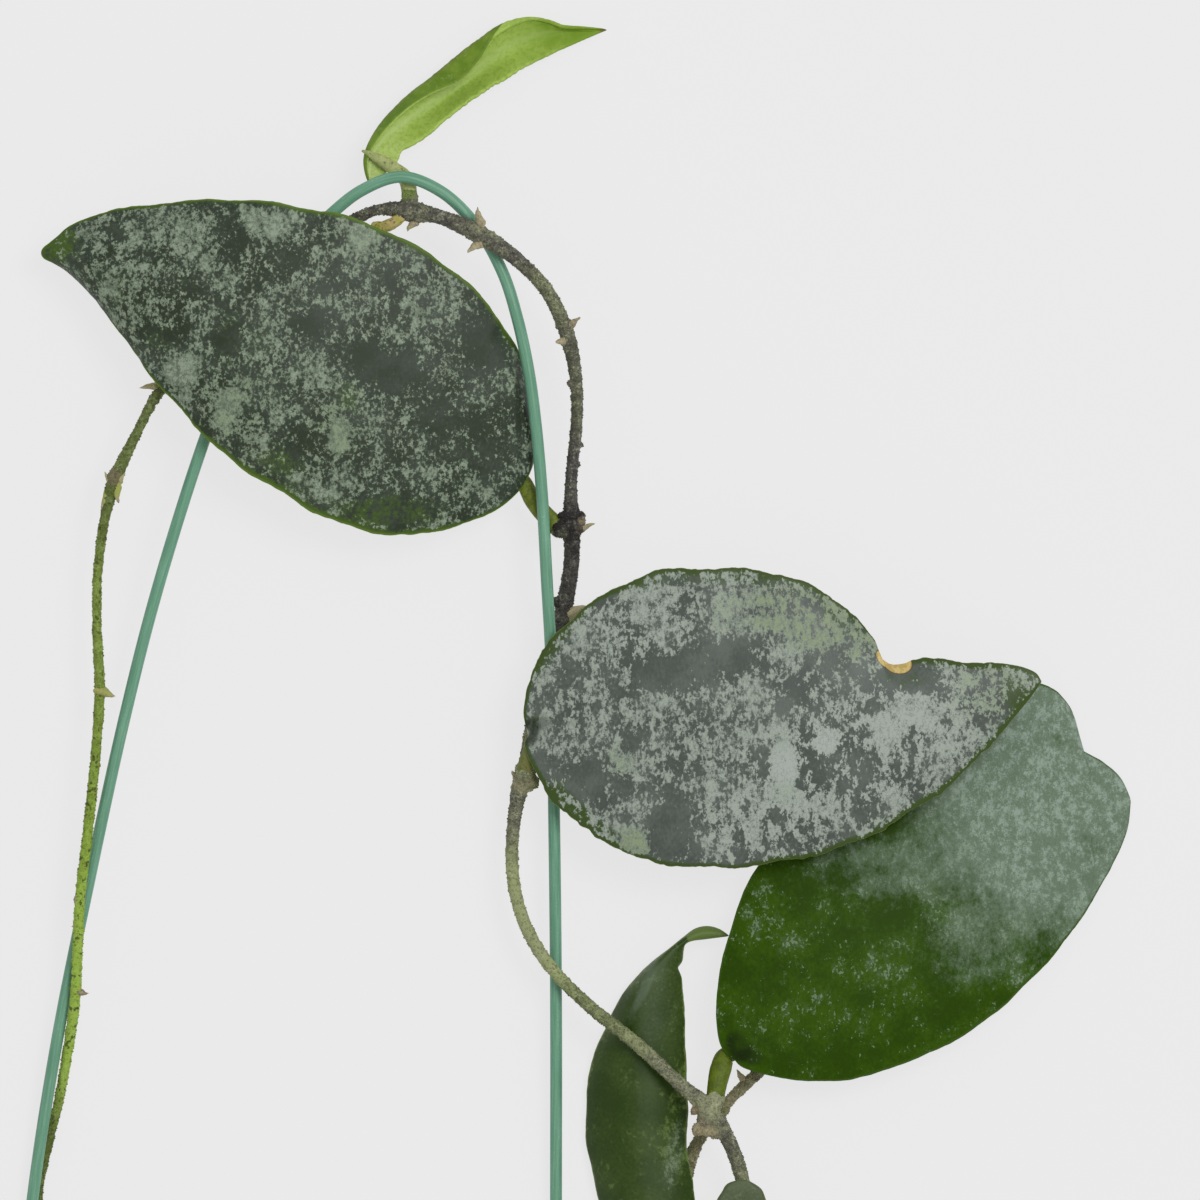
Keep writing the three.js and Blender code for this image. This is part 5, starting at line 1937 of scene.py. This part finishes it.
@dataclass
class Studio:
    """A plain pale floor, soft light from all round, one soft lamp and the camera above.

    Attributes:
        view_width: How wide a strip of the floor the camera sees.
        eye_level: The height of the plane that the view is measured in.
        floor_size: The floor's side, in metres.
        floor_glow: How much it glows, so that the plant's shadows stay faint.
        sky: The strength of the light from all round.
        lamp: The soft lamp's power in watts.
        lamp_place: Where it hangs, in metres.
    """

    plan: Plan
    view_width: float = 300.0
    lens: float = 1000.0
    sensor: float = 36.0
    eye_level: float = 12.0
    floor_size: float = 16.0
    floor_colour: Colour = (0.09, 0.09, 0.091, 1)
    floor_glow: float = 0.731
    sky: float = 0.66
    lamp: float = 34.0
    lamp_place: Point = (0.95, 0.75, 2.5)
    lamp_size: float = 1.1

    def build(self) -> None:
        """Makes the camera, the lamp, the sky and the floor."""
        scene = bpy.context.scene
        scene.view_settings.view_transform = "Standard"
        scene.camera = self._camera()
        scene.world = self._sky()
        self._lamp()
        self._floor()

    def _camera(self) -> Piece:
        """Makes the camera, which looks straight down on the plan's middle.

        Returns:
            The camera.
        """
        data = bpy.data.cameras.new("camera")
        data.lens = self.lens
        data.sensor_width = self.sensor
        data.clip_end = 100
        camera = linked("camera", data)
        distance = self.view_width * self.lens / self.sensor
        camera.location = self.plan.metres([0, 0, self.eye_level + distance])
        return camera

    def _sky(self) -> bpy.types.World:
        """Makes an even light from all round.

        Returns:
            The world.
        """
        world = bpy.data.worlds.new("studio")
        world.use_nodes = True
        graph = Graph(world.node_tree)
        graph.tree.nodes.clear()
        light = graph.add("ShaderNodeBackground", None, {"Color": (1, 1, 1, 1), "Strength": self.sky})
        graph.node("ShaderNodeOutputWorld", None, {"Surface": light})
        return world

    def _lamp(self) -> None:
        """Hangs the soft lamp and points it at the plant."""
        data = bpy.data.lights.new("soft_lamp", "AREA")
        data.shape = "SQUARE"
        data.size = self.lamp_size
        data.energy = self.lamp
        lamp = linked("soft_lamp", data)
        lamp.location = self.lamp_place
        lamp.rotation_mode = "QUATERNION"
        lamp.rotation_quaternion = (-Vector(self.lamp_place)).to_track_quat("-Z", "Y")
        lamp.visible_camera = False

    def _floor(self) -> Piece:
        """Lays the floor.

        Returns:
            The floor.
        """
        reach = self.floor_size / 2
        corners = np.array([[-1, -1, 0], [1, -1, 0], [1, 1, 0], [-1, 1, 0]]) * reach
        finish = Paint("pale_floor").finish(
            self.floor_colour, Roughness=0.9, Specular_IOR_Level=0.0, Emission_Color=(1, 1, 1, 1),
            Emission_Strength=self.floor_glow)
        return new_piece("floor", corners, [[0, 1, 2, 3]], finish)


def stalk_skin(name: str, main: Colour, second: Colour) -> SkinFinish:
    """The finish of a leaf stalk."""
    return SkinFinish(name, main, second, seen(84, 92, 50), 0.12, 0.5)


def upper_left_leaf(plan: Plan) -> Leaf:
    """The large dark leaf with fine silver mottling."""
    finish = LeafFinish(
        name="dark_mottled_skin",
        ground=seen(68, 76, 67), shade=seen(54, 62, 50), rim=seen(72, 92, 44),
        edge_line=seen(98, 124, 52), dull=seen(106, 118, 100), silver=seen(148, 160, 142),
        warm_silver=seen(136, 152, 124), painted_sheen_silver=seen(150, 162, 150), underside=seen(118, 134, 92),
        coverage=-0.03, patchiness=0.45, clumps=1.45, salt=1.5, softness=0.1, strength=0.92,
        dulling=0.12, fleck=0.8, lengthening=1.25, crackle=0.25, rim_width=1.5, line_width=0.9,
        roughness=0.5, gloss=0.28)
    return Leaf(
        plan, "leaf_upper_left",
        left=[
            (-16.8, 34.5), (-16.2, 40), (-17, 48.8), (-18.5, 57), (-23, 66.8), (-29, 75), (-36.8, 82.5),
            (-48.8, 90), (-62, 95.5), (-75, 98.2), (-90, 100), (-110, 99), (-122.5, 97.2), (-132, 93.8),
            (-135.1, 91.2), (-137.4, 89.4), (-139.2, 88),
        ],
        right=[
            (-20.8, 26.8), (-26.2, 22.4), (-35, 18.8), (-47.5, 16.2), (-58, 17.1), (-70.4, 21.5),
            (-82.9, 28.9), (-93.1, 35.6), (-103.3, 46), (-111.8, 55.7), (-119, 66), (-125.8, 75),
            (-130.2, 79.9), (-133.5, 82.7), (-136.5, 84.3), (-138.8, 85.3),
        ],
        rib=[
            (-18.8, 29.8, 11.4), (-30, 36.5, 16.5), (-42.5, 43.8, 20.5), (-67.5, 58, 25.5),
            (-95, 71.2, 26), (-120, 81.2, 21), (-139.6, 86.7, 12),
        ],
        stalk=UPPER_LEFT_STALK, slot=Slot.DARK_MOTTLED_LEAF, finish=finish,
        stalk_finish=stalk_skin("upper_left_stalk_skin", seen(112, 124, 54), seen(92, 102, 44)),
        camber=(3.6, 3.6), ripple=0.3, swell=0.35, roll=Roll(Side.LEFT, 0.0, 0.25, 0.78, 3.6),
        crenation=0.25,
        silver=[
            (-59.9, 90.3, 3, 4.2, 0.8), (-87.7, 95.8, 2.2, 3, 0.7), (-81.1, 92.9, 3, 2.3, 0.6),
            (-65.4, 41.2, 2.4, 4.4, 1.4, -5), (-93.2, 47.8, 3, 5.5, 1.1, -20),
            (-104.5, 56.7, 4, 3.2, 1.3), (-104, 51.2, 2.5, 2, 0.6), (-45.5, 70.7, 2.2, 2.4, 0.6),
            (-51.4, 66.7, 2, 1.4, 0.5), (-48.1, 73.3, 1.7, 1.4, 0.5), (-98.6, 83.3, 1.5, 1.8, 0.7),
            (-92.9, 80.4, 1.8, 1.8, 0.5), (-101.3, 86.3, 1, 1.3, 0.5), (-76.2, 77.2, 2.6, 3.4, 0.3),
            (-70.3, 55, 3.4, 4, 0.35), (-42.9, 31.4, 1.7, 1.7, 0.5), (-38.3, 56.3, 2, 2, 0.5),
            (-36.3, 79.8, 4, 4, 0.4), (-65.8, 30.1, 8, 4.5, 0.3), (-33.7, 30.1, 5, 4, 0.35),
            (-86, 41.9, 5, 4, 0.3), (-103.5, 93.7, 1.5, 2.5, 0.5), (-110.9, 71, 2, 2.5, 0.5),
            (-115.1, 70.5, 1.8, 1.8, 0.5), (-122.3, 78.9, 2, 1.3, 0.5), (-116.3, 77.9, 1.5, 1.8, 0.4),
            (-128, 91.3, 2.3, 1.5, 0.6), (-115.4, 90.3, 1.5, 2, 0.4), (-106.5, 90.3, 1.3, 1.5, 0.4),
            (-124.5, 87.8, 1.8, 1, 0.5), (-134, 87, 6, 4.5, -0.35), (-92.2, 91, 3.6, 4.6, -0.5),
            (-76.9, 85.7, 2.8, 3.4, -0.5), (-72.3, 93.5, 3, 3.5, -0.5), (-71.7, 69.3, 4.8, 3, -0.6),
            (-92, 66.5, 2.5, 5.5, -0.5, -15), (-51.4, 56.9, 7, 4.2, -0.9), (-57.9, 60.2, 4, 4, -0.6),
            (-28.5, 64.1, 5.5, 6, -0.8), (-39.6, 46.5, 5.5, 4, -0.5), (-52.7, 22.3, 9, 3.5, -0.9),
            (-78.8, 35.4, 5, 3.5, -0.5, 20), (-27.8, 35.4, 5, 4, -0.4), (-66.4, 79.8, 4, 5, -0.3),
            (-52.7, 79.8, 2.6, 4, -0.3), (-63.2, 50.4, 2.6, 4, -0.4), (-120.3, 91.7, 2.5, 2.5, -0.6),
            (-102.5, 78.9, 3, 2.5, -0.5), (-110.4, 65, 3.5, 4, -0.4), (-94, 65, 3, 3, -0.3),
            (-112, 80, 16, 11, 0.14), (-78, 91, 24, 8, 0.2), (-30, 46, 12, 15, -0.14),
        ],
        green=[
            (-80, 34, 18, 6, 0.45, -35), (-50, 22, 16, 5, 0.5), (-118, 74, 16, 6, 0.45, -40),
            (-70, 52, 12, 8, 0.3), (-104, 80, 14, 10, 0.3), (-90, 62, 9, 12, 0.3),
            (-135.5, 88.5, 6, 3.5, 0.8, 35),
        ],
        warm=[(-66, 42, 8, 8, 0.8), (-92, 48, 10, 10, 0.6), (-60, 90, 10, 8, 0.4)],
        # Painted shadow: the thin dark line that the wire casts beside the rolled margin
        scars=[(-20.6, 46, 0.9, 13, 0.7, 2)],
    )


def middle_leaf(plan: Plan) -> Leaf:
    """The large silvery leaf with a bitten margin."""
    finish = LeafFinish(
        name="silver_mottled_skin",
        ground=seen(96, 103, 97), shade=seen(78, 85, 79), rim=seen(66, 82, 44),
        edge_line=seen(108, 122, 68), dull=seen(122, 131, 121), silver=seen(158, 166, 156),
        warm_silver=seen(138, 152, 120), painted_sheen_silver=seen(166, 174, 167), underside=seen(96, 112, 72),
        coverage=0.04, patchiness=0.54, clumps=2.5, salt=1.7, softness=0.1, strength=0.95,
        fleck=0.76, lengthening=1.5, crackle=0.3, rim_width=1.4, line_width=0.35, roughness=0.46,
        gloss=0.3)
    return Leaf(
        plan, "leaf_middle",
        left=[
            (-19, -28), (-17.5, -19.5), (-13.5, -11.5), (-6.2, -3.8), (4.8, 3.5), (13.8, 7), (25, 8),
            (37.5, 7.5), (44, 6.7), (50, 4.7), (56.4, 1.5), (60.5, -1), (63.7, -4.3), (66.7, -8),
            (68.3, -10.6), (68.8, -12.6), (70.4, -14.8), (73, -15.9), (76, -16), (78, -15.2),
            (82.5, -14.6), (87, -14.9), (91, -15.6), (99.3, -15.8), (105, -16.6), (108.9, -18.2),
        ],
        right=[
            (-18.8, -36.2), (-18, -39.2), (-15, -45), (-11.2, -51), (-4.9, -56.2), (0.5, -59.8),
            (8.2, -64), (17.5, -66.2), (32.5, -66.8), (50, -64.5), (65, -60), (76.2, -53.8),
            (87.5, -46.2), (96.2, -37.5), (103, -30), (108.5, -23),
        ],
        rib=[
            (-18, -33.8, 17.6), (5, -31.8, 21.2), (30, -30.5, 24), (57.5, -29, 24.5), (85, -25, 22.5),
            (110.3, -20.4, 18),
        ],
        stalk=MIDDLE_STALK, slot=Slot.SILVER_MOTTLED_LEAF, finish=finish,
        stalk_finish=stalk_skin("middle_stalk_skin", seen(118, 116, 78), seen(100, 112, 54)),
        camber=(4, 4), ripple=0.4, swell=0.35, crenation=0.4, crenation_step=2.4, lead=0.0,
        rows=400,
        silver=[
            (35.1, -2.9, 7, 4.5, 0.65), (13.6, -2.9, 6, 6, 0.4), (77.3, -27, 6, 3.5, 0.8),
            (71.3, -33.9, 3, 4.3, 0.7), (46.1, -41.7, 3, 7.8, 1.4), (45, -31.8, 2, 2, 0.9),
            # The first patch on this line is part of the painted highlight at (56, -35.4)
            (56, -35.4, 2.8, 2, 1.4, 20), (5, -39.9, 3, 2.8, 0.9), (8.8, -60.6, 3.5, 3.5, 1.0),
            (38.5, -58, 1.7, 4, 0.8), (54, -51, 5, 3.4, 0.5), (73.4, -49.4, 3, 3, 0.7),
            (86.8, -31.3, 6, 7, 0.35), (6.7, -20.1, 2, 1.7, 0.8), (46.3, -14.1, 4, 6, 0.4),
            (38, -22.7, 3, 4, 0.4), (94.5, -22.7, 5, 5, 0.3), (60, -9.5, 8, 5, 0.3),
            (-4.5, -9.8, 5, 3.4, 0.4), (13.6, -27.9, 9.5, 3.4, 0.3), (35, -49.4, 7, 6, 0.25),
            (28, -38, 10, 5, 0.15), (-9.7, -33, 5, 5, 0.1), (20.5, -17.5, 13, 4.3, -1.1, 12),
            (33.4, -12.4, 3.4, 4.3, -0.8), (47.2, -24.4, 4.3, 4.3, -0.7), (57.5, -15.8, 7, 3, -0.8),
            (-3.6, -45, 8, 4.5, -1.0), (17.9, -56.3, 5.6, 8, -1.1), (8.4, -34.8, 3.4, 2.6, -0.6),
            (54, -40.8, 4, 4.3, -0.5), (64, -43, 5, 5, -0.5), (35, -63, 2.6, 2.2, -0.8),
            (77, -20, 9, 3.2, -1.0), (-8.8, -19.3, 3.4, 3.4, -0.6), (40.3, -41.7, 2.6, 4.3, -0.6),
            (67, -53.7, 3.4, 2.6, -0.6), (44.6, -52.8, 2.6, 3.4, -0.5), (-14.8, -40.8, 3, 3, -0.7),
        ],
        green=[
            (14, 6.5, 36, 4.5, 0.75, 3), (62, -4.5, 9, 5, 0.9, -45), (-13.5, -11, 15, 4, 1.1, 48),
            (-6, -54, 13, 3.4, 1.0, -40), (-14.6, -30.4, 3.4, 2.2, 0.8), (45, 4, 12, 3, 0.6, -15),
            (105, -22, 7, 6, 1.1, 40), (94, -15.8, 14, 1.8, 1.1, -3), (98, -36, 14, 2.2, 1.1, 47),
            (80, -51.4, 12, 2, 0.9, 36), (0, -58, 20, 3, 0.4, -35), (60, -60, 30, 3, 0.4, 20),
            (72, -20, 12, 3, 0.3),
        ],
        warm=[
            (55, -6, 16, 8, 0.9, -20), (35, -3, 9, 6, 0.4), (98, -24, 10, 8, 0.6),
            (8.8, -60.6, 6, 4, 0.8), (46, -42, 4, 8, 0.5), (5, -40, 4, 4, 0.5),
        ],
        # Dark marks round the stalk's joint, and beside them a painted glint
        scars=[(-17.4, -33.2, 2.2, 3.4, 0.9), (-14.8, -30.6, 3.2, 1.8, 0.5)],
        streaks=[(-18.3, -33.2, 0.6, 1, 0.9)],
        # Painted sheen: the lamp's reflection over the lower right half, and a painted highlight at (56,
        # -35.4)
        painted_sheen=[
            (60, -40, 24, 14, 0.4, 20), (84, -28, 12, 9, 0.2), (38, -58, 12, 8, 0.3),
            (46, -41, 5, 5, 0.6), (10, -6, 12, 8, 0.2), (56, -35.4, 3, 2.2, 1.2, 20),
        ],
        callus=[(74.4, -16, 3.6, 2.6, 1.0, -10), (70.5, -14.8, 2.5, 1.1, 0.85, -50)],
    )


def right_leaf(plan: Plan) -> Leaf:
    """The glossy green leaf with a silver bloom towards its tip, partly silver flecks and partly a painted
    sheen.
    """
    finish = LeafFinish(
        name="green_silver_skin",
        ground=dim(55, 82, 14), shade=dim(43, 66, 10), rim=dim(46, 74, 16),
        edge_line=dim(64, 90, 36), dull=dim(104, 121, 102), silver=dim(143, 159, 147),
        warm_silver=dim(124, 142, 116), painted_sheen_silver=dim(172, 186, 180), underside=seen(84, 106, 60),
        coverage=-0.24, patchiness=0.62, cloudiness=0.8, clumps=1.0, salt=0.7, softness=0.6,
        strength=0.95, dulling=0.42, fleck=0.9, lengthening=1.3, crackle=0.15, rim_width=0.9,
        line_width=1.0, specks=0.13, roughness=0.4, gloss=0.05)
    return Leaf(
        plan, "leaf_right",
        left=[
            (30.5, -112), (29, -103.8), (29.8, -93.8), (31.5, -86.2), (34.2, -77.5), (38, -68.8),
            (46.2, -57.5), (57.5, -45), (71.2, -32.5), (85, -24.5), (100, -20.5), (111.2, -21.2),
            (116.3, -25), (118.6, -30), (119.5, -36.4), (125.8, -40.5), (130, -44.2),
        ],
        right=[
            (35.5, -116.7), (46.8, -119.7), (58, -120.3), (67.5, -118.8), (76.2, -115.7), (85, -112.2),
            (96.3, -105.3), (104.9, -97.8), (112.3, -90.2), (118.3, -82.7), (123.3, -75.1),
            (128.2, -66.3), (131.8, -58),
        ],
        rib=[
            (33.8, -115, 15.5), (55, -97.5, 15), (77.5, -81.2, 13), (100, -66.2, 9.5),
            (118.8, -56.2, 5.5), (132.7, -50, 1.6),
        ],
        stalk=RIGHT_STALK, slot=Slot.GREEN_LEAF, finish=finish,
        stalk_finish=stalk_skin("right_stalk_skin", seen(95, 110, 34), seen(78, 92, 28)),
        camber=(3.4, 3.4), ripple=0.15, swell=0.15, rests=True, crenation=0.12,
        # The large patch at the tip is the bloom: silver flecks, and a painted sheen that stands for the
        # reflection of the sky
        silver=[
            (116, -47, 35, 35, 1.7), (70, -67, 19, 8, 0.55, -8), (92, -88, 10, 9, 0.45),
            (122, -63, 4, 5, -0.3), (69, -56, 5, 4, -0.3), (84, -74, 8, 6, -0.15),
            (115.5, -35.5, 3.4, 1.6, -0.7, -45), (105, -73, 5, 4, 0.3),
        ],
        streaks=[
            (86.5, -52, 0.35, 11, 0.3, 4), (63, -62, 0.35, 7, 0.25, 25), (104.5, -27.5, 2, 1.6, 0.5),
        ],
        warm=[(76, -68, 24, 14, 0.5, -20), (98, -88, 18, 10, 0.6, 20)],
        scars=[
            (34.4, -111.5, 3.2, 4, 0.7), (38.6, -114.6, 4, 2, 0.6, -10), (32, -106, 1.6, 4, 0.35),
        ],
    )


def hanging_leaf(plan: Plan) -> Leaf:
    """The dark narrow leaf that hangs down from the lowest node."""
    finish = LeafFinish(
        name="hanging_leaf_skin",
        ground=seen(67, 83, 46), shade=seen(55, 71, 36), rim=seen(100, 118, 66),
        edge_line=seen(100, 118, 78), dull=seen(82, 96, 74), silver=seen(122, 136, 122),
        warm_silver=seen(96, 112, 82), painted_sheen_silver=seen(130, 146, 140), underside=seen(112, 132, 84),
        coverage=-0.28, patchiness=0.9, clumps=0.8, salt=0.9, softness=0.7, strength=0.7,
        fleck=0.8, crackle=0.1, rim_width=0.6, specks=0.04, roughness=0.46, gloss=0.22)
    return Leaf(
        plan, "leaf_hanging",
        left=[
            (10, -182.5), (3.9, -165), (0.5, -152.5), (-2, -142.5), (-3.3, -135), (-3.4, -127.5),
            (-2.8, -120), (-1.1, -112.5), (1.4, -107.6), (5.4, -99.1), (9.6, -94.1), (13.5, -90.3),
            (17.9, -87), (21, -84.5), (24, -82.3), (27, -81.7), (29.8, -82.4),
        ],
        right=[
            (22.5, -182.5), (24.5, -165), (23.8, -150), (22.2, -140.5), (21.6, -133.6), (22, -126.8),
            (21.5, -117), (21.2, -105.7), (20.7, -98), (20.4, -94.6), (19.4, -92), (20.4, -90.4),
            (20.7, -87.8), (21.1, -85.9), (22.6, -85.2), (26, -84.8),
        ],
        rib=[
            (15, -196.2, 4.4), (13, -177.5, 8), (11.2, -157.5, 10.4), (9.8, -137.5, 10.8),
            (9.4, -120, 10.8), (10.4, -102.5, 10.4), (14.8, -91.4, 9.2), (20.4, -86, 7.8),
            (25.4, -83.6, 7), (32.2, -84, 6.2),
        ],
        stalk=HANGING_STALK, slot=Slot.GREEN_LEAF, finish=finish,
        stalk_finish=stalk_skin("hanging_stalk_skin", seen(112, 130, 60), seen(96, 108, 52)),
        camber=(8.6, 4.4), ripple=0.15, swell=0.2, crenation=0.15, lead=0.0, columns=52,
        # The patch at (18.4, -138) paints a pale sheen on the right half, where the blade slopes down from
        # the light
        silver=[
            (13, -98, 8, 12, 0.22, -20), (18.4, -138, 2.4, 9, 0.6, -8), (14, -106, 4, 3, 0.15),
            (9, -120, 9, 6, 0.12), (12, -150, 8, 10, 0.15),
        ],
        # A painted highlight along the crest of the rib
        streaks=[(11.4, -97, 0.9, 7, 0.35, -25)],
        # The patch at (19.4, -130) is painted light: it lightens the right half where the blade slopes
        # down
        green=[
            (27, -83.4, 6, 2.4, 1.6), (19.4, -130, 3.6, 18, 0.5, -4),
        ],
    )


def small_leaf(plan: Plan) -> Leaf:
    """The small grey-green leaf above the lowest node."""
    finish = LeafFinish(
        name="grey_leaf_skin",
        ground=seen(94, 103, 80), shade=seen(80, 90, 66), rim=seen(78, 88, 62),
        edge_line=seen(104, 114, 84), dull=seen(106, 114, 94), silver=seen(122, 130, 110),
        warm_silver=seen(112, 122, 96), painted_sheen_silver=seen(130, 138, 122), underside=seen(116, 128, 96),
        coverage=-0.1, clumps=1.0, salt=1.2, softness=0.4, strength=0.6, fleck=0.7,
        rim_width=0.8, roughness=0.6, gloss=0.25)
    return Leaf(
        plan, "leaf_small",
        left=[
            (31, -175.5), (28.2, -163.8), (28.5, -153), (31, -146.8), (33.4, -145.2),
        ],
        right=[
            (41.5, -175.5), (43.2, -163.8), (42, -152.5), (41, -148.4), (39, -146.1), (37.4, -145.2),
        ],
        rib=[(36.5, -181.2, 9.4), (36, -162.5, 14), (35.4, -144.9, 16.4)],
        stalk=SMALL_STALK, slot=Slot.GREY_LEAF, finish=finish,
        stalk_finish=stalk_skin("small_stalk_skin", seen(118, 126, 84), seen(100, 106, 70)),
        camber=(1.2, 1.2), thickness=1.2, ripple=0.3, crenation=0.15, rows=120, columns=40)


def main() -> None:
    """Builds the plant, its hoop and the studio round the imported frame."""
    logging.basicConfig(level=logging.INFO, format="%(message)s", stream=sys.stdout)
    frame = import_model()
    plan = Plan.of(frame["record"])
    makers = (
        Studio, Hoop, Vine, upper_left_leaf, middle_leaf, right_leaf, hanging_leaf, small_leaf,
        YoungLeaf,
    )
    for make in makers:
        LOG.info("building: %s", make.__name__)
        make(plan).build()
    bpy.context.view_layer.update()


if __name__ == "__main__":
    main()
